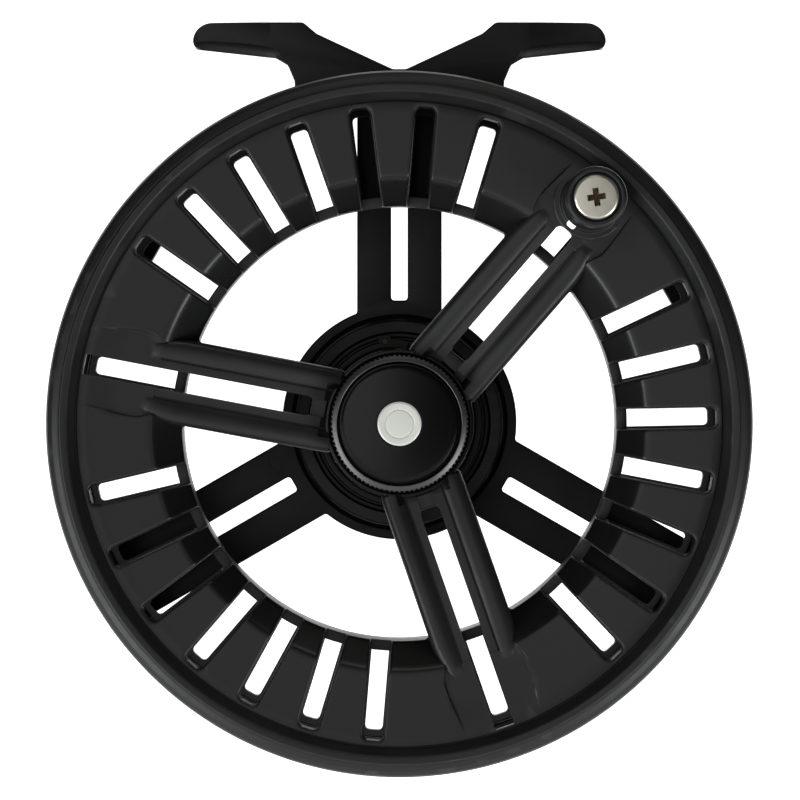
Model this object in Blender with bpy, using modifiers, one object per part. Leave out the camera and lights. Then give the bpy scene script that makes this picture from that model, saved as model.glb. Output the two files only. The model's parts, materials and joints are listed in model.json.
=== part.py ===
"""A large-arbor fly reel, modelled as the separate pieces it is assembled from.

Blender 4.5, metres, +Z up. The origin is the middle of the foot's seat plane, where the rod
presses. The spool's axis runs along Y, FOOT_TOP below the origin, and the handle faces -Y.

Almost every piece is drawn in the reel's own axes, which the empty "reel_axis" holds:
x to the right, y up and z forward, towards the handle side, with the spool's axis on z.
"""

import math

import bmesh
import bpy
from mathutils import Vector

# ---------------------------------------------------------------- driving dimensions
# Lengths are in millimetres and angles in degrees. MM takes lengths to metres.
MM = 0.001
GAP = 0.3  # between two pieces that rest on each other
THROUGH = 80.0  # past both faces of anything that a cutter goes right through
FINE = 60  # steps round the large rings
ROUND = 24  # steps round the hub pieces
SMALL = 12  # steps round screws and pins
COIL_STEPS = 20  # steps in a turn of a spring

FOOT_TOP = 60.0  # seat plane above the spool's axis
FOOT_LENGTH = 62.2
FOOT_WIDTH = 12.4
FOOT_TIP_WIDTH = 8.0

RIM_R = 52.0
RIM_FRONT = 20.2
RIM_BACK = 9.9
SKIRT_R = 50.7  # inside of the palming rim
FACE_R = 47.5  # foot of the rim's inner wall
FACE_Z = 18.3
BEVEL_R = 36.4  # where the face turns down to the opening
BEVEL_Z = 17.7
OPENING_R = 32.2
OPENING_Z = 12.9
FLANGE_BACK = 16.0

ARBOR_R = 33.8
ARBOR_FRONT = 11.2
ARBOR_REAR_R = 32.7  # inside, at the rear, with the moulding draft
REAR_FLANGE_R = 47.5
REAR_FLANGE_FRONT = -4.6
REAR_FLANGE_BACK = -6.7

SPOKE_ANGLES = (49.2, 169.2, 289.2)
HANDLE_SPOKE = SPOKE_ANGLES[0]
SLOT_PITCH = 12.0
SLOTS_FROM_SPOKE = range(2, 9)  # in pitches
SLOT_OUTER_R = 46.8
SLOT_WIDTH = 2.9
REAR_SLOT_WIDTH = 2.65
SPOKE_SLOT_WIDTH = 3.0
SPOKE_SLOT_INNER_R = 13.5
SPOKE_NOTCH_R = 47.9
SPOKE_HALF_WIDTH = 6.35

HUB_R = 11.2
HUB_BACK = 0.4
HUB_FRONT = 13.4
LATCH_TRAVEL = 1.2

HANDLE_R = 43.1  # handle axis from the spool's axis
HANDLE_KNOB_R = 4.45
HANDLE_PAD_R = 4.95
HANDLE_PAD_Z = 18.9
HANDLE_TOP = 38.5
HANDLE_HEAD_R = 3.14

FRAME_R = 51.6
FRAME_RING_INNER_R = 47.6
FRAME_WALL_INNER_R = 48.1
FRAME_BACK_Z = -10.6
FRAME_PLATE_Z = -7.4
FRAME_WALL_Z = -4.0
FRAME_HUB_R = 17.85
FRAME_SPOKES = (90.0, 210.0, 330.0)
FRAME_SPOKE_HALF_WIDTH = 6.45
FRAME_SLOT_WIDTH = 2.5
FRAME_SLOT_INNER_R = 18.6
FRAME_SLOT_OUTER_R = 44.0
LUG_ANGLES = (30.0, 150.0)
LUG_R = 45.0
LUG_HALF_ANGLE = 10.0

FRONT_RING_R = 51.8
FRONT_RING_BACK = 7.4
FRONT_RING_FRONT = 9.4
FRONT_LIP_R = 50.2
FRONT_LIP_FRONT = 15.0

PILLAR_ANGLES = (30.0, 150.0, 210.0, 330.0)
PILLAR_CENTRE_R = 49.7
PILLAR_R = 1.6
BRIDGE_INNER_R = 48.3
BRIDGE_HALF_ANGLE = 18.0
BRIDGE_SCREW_HALF_ANGLE = 7.0
FOOT_SCREW_X = 12.6
FOOT_SCREW_Z = 1.7

DRAG_CUP_R = 15.6
DRAG_CUP_INNER_R = 13.8
DRAG_CUP_FRONT = -1.0
DRAG_FLOOR_Z = -8.6

SPINDLE_R = 2.5
SPINDLE_FRONT = 14.1
SPINDLE_BACK = -18.9
CLICK_TEETH = 36
CLICK_GEAR_R = 10.6
PAWL_PIVOT_R = 12.5
PAWL_PIVOT_ANGLE = 100.0

KNOB_R = 13.0
KNOB_FRONT = -11.0
KNOB_BACK = -20.6
KNOB_FLUTES = 12

# ---------------------------------------------------------------- materials
# name: (colour, roughness, metallic)
FINISHES = {
    "frame_black": ((0.022, 0.022, 0.021), 0.48, 0.0),
    "spool_black": ((0.026, 0.026, 0.025), 0.42, 0.0),
    "gloss_black": ((0.008, 0.008, 0.010), 0.12, 0.0),
    "knob_black": ((0.030, 0.031, 0.033), 0.35, 0.0),
    "badge_grey": ((0.55, 0.56, 0.52), 0.40, 0.0),
    "nickel": ((0.60, 0.57, 0.50), 0.30, 1.0),
    "steel": ((0.55, 0.55, 0.56), 0.28, 1.0),
    "black_steel": ((0.03, 0.03, 0.03), 0.35, 1.0),
    "brass": ((0.66, 0.48, 0.22), 0.32, 1.0),
    "aluminium": ((0.62, 0.63, 0.65), 0.35, 1.0),
    "friction": ((0.20, 0.10, 0.06), 0.70, 0.0),
    "rubber": ((0.015, 0.015, 0.015), 0.80, 0.0),
}


def clear_scene():
    for obj in list(bpy.data.objects):
        bpy.data.objects.remove(obj, do_unlink=True)


def new_collection(name):
    collection = bpy.data.collections.new(name)
    bpy.context.scene.collection.children.link(collection)
    return collection


clear_scene()
PARTS = new_collection("fly_reel")
CUTTERS = new_collection("cutters")


def new_empty(name, place, turn):
    """An empty at `place` in millimetres, turned by `turn` degrees about x, y and z."""
    empty = bpy.data.objects.new(name, None)
    empty.location = Vector(place) * MM
    empty.rotation_euler = [math.radians(angle) for angle in turn]
    PARTS.objects.link(empty)
    return empty


AXIS = new_empty("reel_axis", (0, 0, -FOOT_TOP), (90, 0, 0))


def material(name):
    found = bpy.data.materials.get(name)
    if found:
        return found
    colour, roughness, metallic = FINISHES[name]
    made = bpy.data.materials.new(name)
    made.use_nodes = True
    shader = made.node_tree.nodes["Principled BSDF"]
    shader.inputs["Base Color"].default_value = (*colour, 1.0)
    shader.inputs["Roughness"].default_value = roughness
    shader.inputs["Metallic"].default_value = metallic
    return made


def place(obj, finish=None, at=(0, 0, 0), turn=(0, 0, 0)):
    """Puts an object in the reel's axes: a part with its finish, or a cutter without one."""
    obj.parent = AXIS
    obj.location = Vector(at) * MM
    obj.rotation_euler = [math.radians(angle) for angle in turn]
    if finish:
        obj.data.materials.append(material(finish))
        PARTS.objects.link(obj)
    else:
        obj.hide_render = True
        obj.display_type = "WIRE"
        CUTTERS.objects.link(obj)
    return obj


# ---------------------------------------------------------------- outlines, in millimetres
def polar(radius, angle):
    return (radius * math.cos(math.radians(angle)), radius * math.sin(math.radians(angle)))


def arc(radius, start, end, count, centre=(0, 0)):
    """Points along an arc, both ends included."""
    step = (end - start) / (count - 1)
    points = [polar(radius, start + step * index) for index in range(count)]
    return [(x + centre[0], y + centre[1]) for x, y in points]


def circle(radius, count, centre=(0, 0)):
    return arc(radius, 0, 360 - 360 / count, count, centre)


def turned_by(points, angle):
    cosine = math.cos(math.radians(angle))
    sine = math.sin(math.radians(angle))
    return [(x * cosine - y * sine, x * sine + y * cosine) for x, y in points]


def filleted(points, radii, count=4):
    """The closed outline with the corners named in `radii` (index: radius) rounded."""
    out = []
    for index, corner in enumerate(points):
        if index not in radii:
            out.append(corner)
            continue
        here = Vector(corner)
        before = (Vector(points[index - 1]) - here).normalized()
        after = (Vector(points[(index + 1) % len(points)]) - here).normalized()
        half = before.angle(after) / 2
        reach = radii[index] / math.tan(half)
        start = here + before * reach
        end = here + after * reach
        for step in range(count + 1):
            t = step / count
            # A quadratic through both tangent points, close to the arc at these small sizes.
            point = start * (1 - t) ** 2 + here * 2 * t * (1 - t) + end * t**2
            out.append(tuple(point))
    return out


def slot(angle, inner, outer, width, corner=0.9):
    """A radial slot from one radius to the other, with its outer corners rounded."""
    half = width / 2
    box = [(inner, -half), (outer, -half), (outer, half), (inner, half)]
    return turned_by(filleted(box, {1: corner, 2: corner}, 3), angle)


# ---------------------------------------------------------------- shapes
def turned(name, profile, steps=ROUND):
    """A turned body: (radius, z) points, down the outer side and back up the inner one."""
    mesh = bpy.data.meshes.new(name)
    solid_core = min(radius for radius, _ in profile) == 0
    count = len(profile)
    edges = [(index, index + 1) for index in range(count - 1)]
    if not solid_core:
        edges.append((count - 1, 0))
    mesh.from_pydata([(radius * MM, 0, z * MM) for radius, z in profile], edges, [])
    obj = bpy.data.objects.new(name, mesh)
    screw = obj.modifiers.new("turn", "SCREW")
    screw.axis = "Z"
    screw.steps = steps
    screw.render_steps = steps
    screw.use_merge_vertices = True
    screw.merge_threshold = 1e-6
    return obj


def ring(name, outer, inner, front, back, steps=ROUND):
    return turned(name, [(outer, front), (outer, back), (inner, back), (inner, front)], steps)


def disc(name, radius, front, back, steps=ROUND):
    return turned(name, [(0, front), (radius, front), (radius, back), (0, back)], steps)


def welded_mesh(obj):
    """The object's evaluated mesh with its loose caps joined to its sides."""
    bpy.context.view_layer.update()
    graph = bpy.context.evaluated_depsgraph_get()
    mesh = bpy.data.meshes.new_from_object(obj.evaluated_get(graph))
    cage = bmesh.new()
    cage.from_mesh(mesh)
    bmesh.ops.remove_doubles(cage, verts=cage.verts, dist=1e-7)
    bmesh.ops.recalc_face_normals(cage, faces=cage.faces)
    cage.to_mesh(mesh)
    cage.free()
    return mesh


def plate(name, outlines, front, back):
    """A flat piece: closed outlines, where one inside another is a hole in it."""
    curve = bpy.data.curves.new(name, "CURVE")
    curve.dimensions = "2D"
    curve.fill_mode = "BOTH"
    curve.extrude = (front - back) / 2 * MM
    for outline in outlines:
        spline = curve.splines.new("POLY")
        spline.points.add(len(outline) - 1)
        for point, (x, y) in zip(spline.points, outline):
            point.co = (x * MM, y * MM, 0, 1)
        spline.use_cyclic_u = True
    flat = bpy.data.objects.new(name, curve)
    CUTTERS.objects.link(flat)
    mesh = welded_mesh(flat)
    bpy.data.objects.remove(flat)
    bpy.data.curves.remove(curve)
    middle = (front + back) / 2 * MM
    for vertex in mesh.vertices:
        vertex.co.z += middle
    mesh.name = name
    return bpy.data.objects.new(name, mesh)


def loft(name, rows):
    """One mesh of solid bars, each lofted through its own list of closed sections."""
    cage = bmesh.new()
    for sections in rows:
        loops = [[cage.verts.new(Vector(point) * MM) for point in section] for section in sections]
        size = len(loops[0])
        for first, second in zip(loops, loops[1:]):
            for side in range(size):
                after = (side + 1) % size
                cage.faces.new((first[side], first[after], second[after], second[side]))
        cage.faces.new(loops[0])
        cage.faces.new(loops[-1])
    bmesh.ops.recalc_face_normals(cage, faces=cage.faces)
    mesh = bpy.data.meshes.new(name)
    cage.to_mesh(mesh)
    cage.free()
    return bpy.data.objects.new(name, mesh)


def coil(name, radius, wire, turns, front, back, at=(0, 0, 0)):
    """A compression spring: a helix of round wire from `front` to `back`, in flat triangles."""
    curve = bpy.data.curves.new(name, "CURVE")
    curve.dimensions = "3D"
    curve.bevel_depth = wire * MM
    curve.bevel_resolution = 1
    curve.use_fill_caps = True
    steps = turns * COIL_STEPS
    spline = curve.splines.new("POLY")
    spline.points.add(steps)
    for index, point in enumerate(spline.points):
        x, y = polar(radius, 360 * turns * index / steps)
        z = front + (back - front) * index / steps
        point.co = (x * MM, y * MM, z * MM, 1)
    wire_curve = bpy.data.objects.new(name, curve)
    CUTTERS.objects.link(wire_curve)
    mesh = welded_mesh(wire_curve)
    bpy.data.objects.remove(wire_curve)
    cage = bmesh.new()
    cage.from_mesh(mesh)
    bmesh.ops.triangulate(cage, faces=cage.faces)
    cage.to_mesh(mesh)
    cage.free()
    return place(bpy.data.objects.new(name, mesh), "steel", at)


def boolean(obj, other, operation):
    modifier = obj.modifiers.new(other.name, "BOOLEAN")
    modifier.operation = operation
    modifier.object = other
    return obj


def cut(obj, cutter):
    return boolean(obj, cutter, "DIFFERENCE")


def add(obj, other):
    return boolean(obj, other, "UNION")


def finish_shading(angle=35):
    """Round pieces shade smooth, with their edges kept."""
    for obj in PARTS.objects:
        if obj.type != "MESH":
            continue
        for modifier in obj.modifiers:
            if modifier.type == "SCREW":
                modifier.use_smooth_shade = True
        if obj.data.polygons:
            obj.data.shade_smooth()
            obj.data.set_sharp_from_angle(angle=math.radians(angle))


def screw_profile(head_r, head_h, shank_r, length):
    """A pan-head screw with its head's seat at z = 0 and its shank going down from it."""
    crown = head_h * 0.35
    return [
        (0, head_h),
        (head_r * 0.7, head_h),
        (head_r, head_h - crown),
        (head_r, 0),
        (shank_r, 0),
        (shank_r, -length + shank_r * 0.6),
        (shank_r * 0.4, -length),
        (0, -length),
    ]


FACING_BACK = (180, 0, 0)  # turns a screw's head to the rear
FACING_DOWN = (90, 0, 0)  # turns a screw's head towards the spool's axis


def screw(name, finish, at, turn, head_r, head_h, shank_r, length):
    body = turned(name, screw_profile(head_r, head_h, shank_r, length), SMALL)
    return place(body, finish, at, turn)


# ---------------------------------------------------------------- spool
def spool_body_profile():
    """Palming rim, face, bevel and the back of the front flange, as one closed section."""
    return [
        (49.35, RIM_FRONT),
        (50.0, 19.7),
        (50.8, 19.6),
        (51.6, 18.9),
        (RIM_R, 17.8),
        (RIM_R, RIM_BACK + 0.4),
        (RIM_R - 0.4, RIM_BACK),
        (SKIRT_R, RIM_BACK),
        (SKIRT_R, FLANGE_BACK),
        (37.6, FLANGE_BACK - 0.5),
        (34.6, ARBOR_FRONT + GAP),
        (OPENING_R, ARBOR_FRONT + GAP),
        (OPENING_R, OPENING_Z),
        (BEVEL_R, BEVEL_Z),
        (FACE_R, FACE_Z),
        (48.75, RIM_FRONT - 0.4),
    ]


def spoke_leg(spoke, side):
    """Sections of one leg of a double spoke, from the hub out to the face."""
    # radius, top and bottom of the leg at each station
    stations = ((10.7, 12.9, 7.6), (24.9, 16.2, 9.6), (33.2, 17.9, 11.9), (37.8, 18.25, 14.6), (40.2, 17.2, 16.4))
    inner = 1.2
    sections = []
    for radius, top, bottom in stations:
        shoulder = min(1.5, (top - bottom) * 0.4)
        flat = [
            (inner, bottom),
            (inner, top),
            (SPOKE_HALF_WIDTH - 1.1, top),
            (SPOKE_HALF_WIDTH - 0.3, top - shoulder * 0.35),
            (SPOKE_HALF_WIDTH, top - shoulder),
            (SPOKE_HALF_WIDTH - 0.2, bottom),
        ]
        points = [(radius, side * across, z) for across, z in flat]
        sections.append([(*turned_by([(x, y)], spoke)[0], z) for x, y, z in points])
    return sections


def hub_profile():
    """Spool hub: bore for the driven bush, a seat for the release ring and a collar inside it."""
    return [
        (10.9, HUB_FRONT),
        (HUB_R, HUB_FRONT - 0.3),
        (HUB_R, HUB_BACK),
        (8.9, HUB_BACK),
        (8.9, 11.8),
        (8.2, 11.8),
        (8.2, SPINDLE_FRONT),
        (9.0, SPINDLE_FRONT),
        (9.0, 12.6),
        (10.5, 12.6),
        (10.5, HUB_FRONT),
    ]


def slot_angles():
    return [spoke + SLOT_PITCH * step for spoke in SPOKE_ANGLES for step in SLOTS_FROM_SPOKE]


def front_slots():
    """Every opening through the front flange: face slots, spoke slots and the small window."""
    outlines = [slot(angle, OPENING_R - 1.5, SLOT_OUTER_R, SLOT_WIDTH) for angle in slot_angles()]
    for spoke in SPOKE_ANGLES[1:]:
        outlines.append(slot(spoke, SPOKE_SLOT_INNER_R, SPOKE_NOTCH_R, SPOKE_SLOT_WIDTH, 0.2))
    pad_edge = HANDLE_R - HANDLE_PAD_R
    outlines.append(slot(HANDLE_SPOKE, SPOKE_SLOT_INNER_R, pad_edge - 0.3, SPOKE_SLOT_WIDTH, 1.2))
    outlines.append(slot(HANDLE_SPOKE, pad_edge + 0.5, pad_edge + 1.35, 1.3, 0.1))
    outlines.append(circle(2.5, SMALL, polar(HANDLE_R, HANDLE_SPOKE)))
    return outlines


def make_spool_front():
    body = turned("spool_front", spool_body_profile(), FINE)
    legs = loft("spoke_legs", [spoke_leg(spoke, side) for spoke in SPOKE_ANGLES for side in (1, -1)])
    hub = turned("spool_hub", hub_profile())
    pad = disc("handle_pad", HANDLE_PAD_R, HANDLE_PAD_Z, FLANGE_BACK + 0.6, 32)
    blocks = [slot(spoke, 10.8, SPOKE_SLOT_INNER_R, 5.0, 0.1) for spoke in SPOKE_ANGLES]
    webs = plate("spoke_root_webs", blocks, 12.2, 8.2)
    openings = plate("front_openings", front_slots(), THROUGH, -THROUGH)
    add(body, place(legs))
    add(body, place(webs))
    add(body, place(hub))
    add(body, place(pad, at=(*polar(HANDLE_R, HANDLE_SPOKE), 0)))
    cut(body, place(openings))
    place(body, "spool_black")


def make_spool_rear():
    profile = [
        (ARBOR_R, ARBOR_FRONT),
        (ARBOR_R, REAR_FLANGE_FRONT + 1.2),
        (ARBOR_R + 1.2, REAR_FLANGE_FRONT),
        (REAR_FLANGE_R, REAR_FLANGE_FRONT),
        (REAR_FLANGE_R, REAR_FLANGE_BACK),
        (ARBOR_REAR_R, REAR_FLANGE_BACK),
        (OPENING_R, ARBOR_FRONT),
    ]
    body = turned("spool_rear", profile, FINE)
    angles = slot_angles() + list(SPOKE_ANGLES)
    outlines = [slot(angle, ARBOR_R + 0.15, SLOT_OUTER_R, REAR_SLOT_WIDTH) for angle in angles]
    cut(body, place(plate("rear_openings", outlines, 0, -THROUGH)))
    place(body, "spool_black")


def make_hub_pieces():
    hexagon = circle(13.4 / 2 / math.cos(math.radians(30)), 6)
    place(plate("drive_bush", [circle(8.6, ROUND), hexagon], 11.5, 0.7), "brass")
    teeth = []
    for tooth in range(CLICK_TEETH):
        pitch = 360 / CLICK_TEETH
        middle = tooth * pitch
        teeth.append(polar(CLICK_GEAR_R, middle))
        teeth.append(polar(CLICK_GEAR_R - 0.6, middle + pitch / 2))
    place(plate("click_gear", [teeth, circle(9.0, ROUND)], 0.1, -0.9), "steel")
    place(ring("release_ring", 10.3, 9.3, 15.7, 12.9, 36), "knob_black")
    # The hole is long enough for the spindle's nose at both ends of the plate's travel.
    hole = arc(2.35, -90, 90, 9) + arc(2.35, 90, 270, 9, (-LATCH_TRAVEL, 0))
    outline = filleted([(-5.0, -4.0), (5.0, -4.0), (5.0, 4.0), (-5.0, 4.0)], {0: 1.2, 1: 1.2, 2: 1.2, 3: 1.2})
    place(plate("latch_plate", [outline, hole], 13.3, 12.5), "steel")
    zigzag = [(6.6 + 0.6 * (step % 2), -2.4 + 0.8 * step) for step in range(7)]
    back = [(x + 0.35, y + 0.12) for x, y in reversed(zigzag)]
    place(plate("latch_spring", [zigzag + back], 13.2, 12.6), "steel")


def make_cap():
    cap = [
        (0, 15.5),
        (3.05, 15.5),
        (3.05, 16.0),
        (7.9, 15.95),
        (8.6, 15.7),
        (8.8, 15.3),
        (8.8, 14.4),
        (0, 14.4),
    ]
    place(turned("cap_disc", cap, 36), "gloss_black")
    badge = [(0, 16.2), (2.5, 16.2), (2.75, 16.0), (2.75, 15.8), (0, 15.8)]
    place(turned("cap_badge", badge, ROUND), "badge_grey")


def make_handle():
    at = (*polar(HANDLE_R, HANDLE_SPOKE), 0)
    base = HANDLE_PAD_Z + GAP
    knob = [
        (3.45, HANDLE_TOP),
        (4.0, HANDLE_TOP),
        (4.35, HANDLE_TOP - 0.3),
        (HANDLE_KNOB_R, HANDLE_TOP - 0.9),
        (4.35, HANDLE_TOP - 3.5),
        (3.8, HANDLE_TOP - 9.0),
        (3.85, HANDLE_TOP - 13.0),
        (4.25, base + 2.0),
        (4.3, base + 0.9),
        (4.0, base + 0.6),
        (2.1, base + 0.6),
        (2.1, HANDLE_TOP - 2.2),
        (3.45, HANDLE_TOP - 2.2),
    ]
    place(turned("handle_knob", knob, ROUND), "knob_black", at)
    place(ring("handle_washer", 3.4, 2.1, base + 0.4, base, ROUND), "steel", at)
    sleeve = ring("handle_sleeve", 2.0, 1.35, HANDLE_TOP - 1.9, base, ROUND)
    place(sleeve, "brass", at)
    top = base - GAP
    insert = [(0, top - 2.2), (1.3, top - 2.2), (1.3, top), (2.2, top), (2.2, FLANGE_BACK), (0, FLANGE_BACK)]
    place(turned("handle_insert", insert, 24), "brass", at)
    seat = HANDLE_TOP - 1.6
    body = turned("handle_screw", screw_profile(HANDLE_HEAD_R, 1.5, 1.1, seat - base + 1.6), 24)
    for name, angle in (("recess_across", 0), ("recess_along", 90)):
        arm = loft(name, [cross_arm(angle)])
        cut(body, place(arm, at=(*at[:2], seat + 1.5), turn=(0, 0, 8)))
    place(body, "nickel", (*at[:2], seat))


def cross_arm(angle):
    """One bar of the screw's cross recess, narrower at the bottom."""
    rows = []
    for across in (-0.32, 0.32):
        bar = [(-1.25, 0.5), (1.25, 0.5), (0.75, -0.85), (-0.75, -0.85)]
        rows.append([(*turned_by([(along, across)], angle)[0], z) for along, z in bar])
    return rows


# ---------------------------------------------------------------- frame
def frame_window(centre):
    """The window between two frame spokes. The ring's lug, where there is one, cuts its corner."""
    at_hub = 60 - math.degrees(math.asin(FRAME_SPOKE_HALF_WIDTH / FRAME_HUB_R))
    at_ring = 60 - math.degrees(math.asin(FRAME_SPOKE_HALF_WIDTH / FRAME_RING_INNER_R))
    outer = arc(FRAME_RING_INNER_R, centre - at_ring, centre + at_ring, 17)
    if centre in LUG_ANGLES:
        lug_edge = LUG_R / math.cos(math.radians(LUG_HALF_ANGLE))
        ends = [polar(lug_edge, centre - LUG_HALF_ANGLE), polar(lug_edge, centre + LUG_HALF_ANGLE)]
        root = LUG_HALF_ANGLE + 2.0
        before = arc(FRAME_RING_INNER_R, centre - at_ring, centre - root, 7)
        after = arc(FRAME_RING_INNER_R, centre + root, centre + at_ring, 7)
        outer = before + ends + after
    inner = arc(FRAME_HUB_R, centre + at_hub, centre - at_hub, 9)
    corners = {0: 1.5, len(outer) - 1: 1.5, len(outer): 1.2, len(outer) + len(inner) - 1: 1.2}
    return filleted(outer + inner, corners)


def make_frame_back():
    outlines = [circle(FRAME_R, FINE)]
    for spoke in FRAME_SPOKES:
        outlines.append(frame_window((spoke + 300) % 360))
        outlines.append(slot(spoke, FRAME_SLOT_INNER_R, FRAME_SLOT_OUTER_R, FRAME_SLOT_WIDTH, 0.4))
    body = plate("frame_back", outlines, FRAME_PLATE_Z, FRAME_BACK_Z)
    wall = ring("frame_wall", FRAME_R - 0.05, FRAME_WALL_INNER_R, FRAME_WALL_Z, FRAME_PLATE_Z - 0.5, FINE)
    cup = disc("drag_cup", DRAG_CUP_R, DRAG_CUP_FRONT, FRAME_PLATE_Z - 0.5)
    bore = [
        (0, THROUGH),
        (DRAG_CUP_INNER_R, THROUGH),
        (DRAG_CUP_INNER_R, DRAG_FLOOR_Z),
        (2.8, DRAG_FLOOR_Z),
        (2.8, -THROUGH),
        (0, -THROUGH),
    ]
    holes = [circle(1.25, 12, polar(PILLAR_CENTRE_R, angle)) for angle in PILLAR_ANGLES]
    for side in (-1, 1):
        holes.append(circle(1.25, 12, polar(PILLAR_CENTRE_R, 90 + side * BRIDGE_SCREW_HALF_ANGLE)))
    add(body, place(wall))
    add(body, place(cup))
    cut(body, place(turned("hub_bore", bore)))
    cut(body, place(plate("frame_holes", holes, 0, -THROUGH)))
    place(body, "frame_black")


def make_front_ring():
    profile = [
        (FRONT_LIP_R, FRONT_LIP_FRONT),
        (FRONT_LIP_R, FRONT_RING_FRONT),
        (FRONT_RING_R, FRONT_RING_FRONT),
        (FRONT_RING_R, FRONT_RING_BACK),
        (FRAME_WALL_INNER_R, FRONT_RING_BACK),
        (FRAME_WALL_INNER_R, FRONT_LIP_FRONT),
    ]
    body = turned("frame_front_ring", profile, FINE)
    holes = [circle(1.2, 12, polar(PILLAR_CENTRE_R, angle)) for angle in PILLAR_ANGLES]
    cut(body, place(plate("ring_holes", holes, FRONT_RING_BACK + 1.4, -THROUGH)))
    place(body, "frame_black")


def make_pillars():
    front = FRONT_RING_BACK - GAP
    back = FRAME_WALL_Z + GAP
    profile = [
        (0, front + 1.3),
        (0.9, front + 1.3),
        (0.9, front),
        (PILLAR_R, front),
        (PILLAR_R, back),
        (1.05, back),
        (1.05, back + 6.0),
        (0, back + 6.0),
    ]
    names = ("upper_right", "upper_left", "lower_left", "lower_right")
    for name, angle in zip(names, PILLAR_ANGLES):
        at = (*polar(PILLAR_CENTRE_R, angle), 0)
        place(turned("pillar_" + name, profile, SMALL), "black_steel", at)
        at = (*at[:2], FRAME_BACK_Z - GAP)
        screw("pillar_screw_" + name, "steel", at, FACING_BACK, 1.85, 1.2, 0.8, 11.5)


def make_bridge():
    """The bar between the two rings that carries the foot."""
    start = 90 - BRIDGE_HALF_ANGLE
    end = 90 + BRIDGE_HALF_ANGLE
    outline = arc(FRAME_R, start, end, 11) + arc(BRIDGE_INNER_R, end, start, 11)
    front = FRONT_RING_BACK - GAP
    back = FRAME_WALL_Z + GAP
    body = plate("foot_bridge", [outline], front, back)
    for side, name in ((-1, "right"), (1, "left")):
        angle = 90 + side * BRIDGE_SCREW_HALF_ANGLE
        at = (*polar(PILLAR_CENTRE_R, angle), 0)
        cut(body, place(disc("bridge_hole_" + name, 1.05, back + 5.0, -THROUGH, 12), at=at))
        at = (*at[:2], FRAME_BACK_Z - GAP)
        screw("bridge_screw_" + name, "steel", at, FACING_BACK, 1.85, 1.2, 0.8, 10.5)
        x = -side * FOOT_SCREW_X
        hole = [(0, 30), (1.3, 30), (1.3, 1.6), (2.2, 1.6), (2.2, -5), (0, -5)]
        low = math.sqrt(BRIDGE_INNER_R**2 - x**2) - 0.6
        cutter = turned("bridge_seat_" + name, hole, SMALL)
        cut(body, place(cutter, at=(x, low, FOOT_SCREW_Z), turn=(-90, 0, 0)))
    place(body, "frame_black")


def foot_outline():
    half = FOOT_LENGTH / 2
    right = [
        (1.0, 53.0),
        (12.4, 58.3),
        (14.4, FOOT_TOP),
        (28.4, FOOT_TOP),
        (half, 58.6),
        (half - 0.2, 56.6),
        (half - 1.4, 55.9),
        (18.4, 54.6),
        (16.7, 53.6),
        (15.7, 51.2),
    ]
    left = [(-x, y) for x, y in reversed(right)]
    base_r = FRAME_R + GAP
    reach = math.degrees(math.asin(15.6 / base_r))
    base = arc(base_r, 90 - reach, 90 + reach, 9)
    points = right + base + left
    count = len(points)
    corners = {2: 1.6, 3: 1.4, 4: 1.2, 8: 1.5}
    corners.update({count - 1 - index: radius for index, radius in list(corners.items())})
    return filleted(points, corners)


def make_foot():
    body = plate("reel_foot", [foot_outline()], FOOT_WIDTH / 2, -FOOT_WIDTH / 2)
    half = FOOT_LENGTH / 2 + 0.5
    wide = FOOT_WIDTH / 2 + 0.4
    tip = FOOT_TIP_WIDTH / 2
    plan = [(half, tip), (17.0, wide), (-17.0, wide), (-half, tip)]
    plan += [(x, -z) for x, z in reversed(plan)]
    plan = filleted(plan, {0: 3.0, 3: 3.0, 4: 3.0, 7: 3.0})
    envelope = place(plate("foot_plan", [plan], THROUGH, -THROUGH), turn=(90, 0, 0))
    boolean(body, envelope, "INTERSECT")
    for side, name in ((-1, "left"), (1, "right")):
        x = side * FOOT_SCREW_X
        low = math.sqrt(BRIDGE_INNER_R**2 - x**2) - 0.6
        hole = disc("foot_hole_" + name, 1.05, 10.5, -3, 12)
        cut(body, place(hole, at=(x, low, FOOT_SCREW_Z), turn=(-90, 0, 0)))
        at = (x, low + 1.6 - GAP, FOOT_SCREW_Z)
        screw("foot_screw_" + name, "steel", at, FACING_DOWN, 1.9, 0.9, 0.85, 8.0)
    place(body, "frame_black")


# ---------------------------------------------------------------- drag and drive
def make_drag():
    place(ring("friction_washer", 13.2, 4.2, -7.5, -8.3), "friction")
    rotor = [
        (8.6, -2.4),
        (8.6, -5.8),
        (13.3, -5.8),
        (13.3, -7.2),
        (2.9, -7.2),
        (2.9, -5.8),
        (7.2, -5.8),
        (7.2, -2.4),
    ]
    place(turned("drag_rotor", rotor), "steel")
    place(ring("clutch_bearing", 7.0, 4.65, -2.6, -5.5), "steel")
    place(ring("thrust_washer", 8.5, 4.65, -1.5, -2.1), "brass")
    place(ring("drag_cover", 13.5, 10.0, -1.9, -3.4), "frame_black")
    section = [(9.3 + 0.4 * math.cos(t * math.pi / 3), -2.7 - 0.4 * math.sin(t * math.pi / 3)) for t in range(6)]
    place(turned("cover_seal", section, 24), "rubber")


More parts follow.
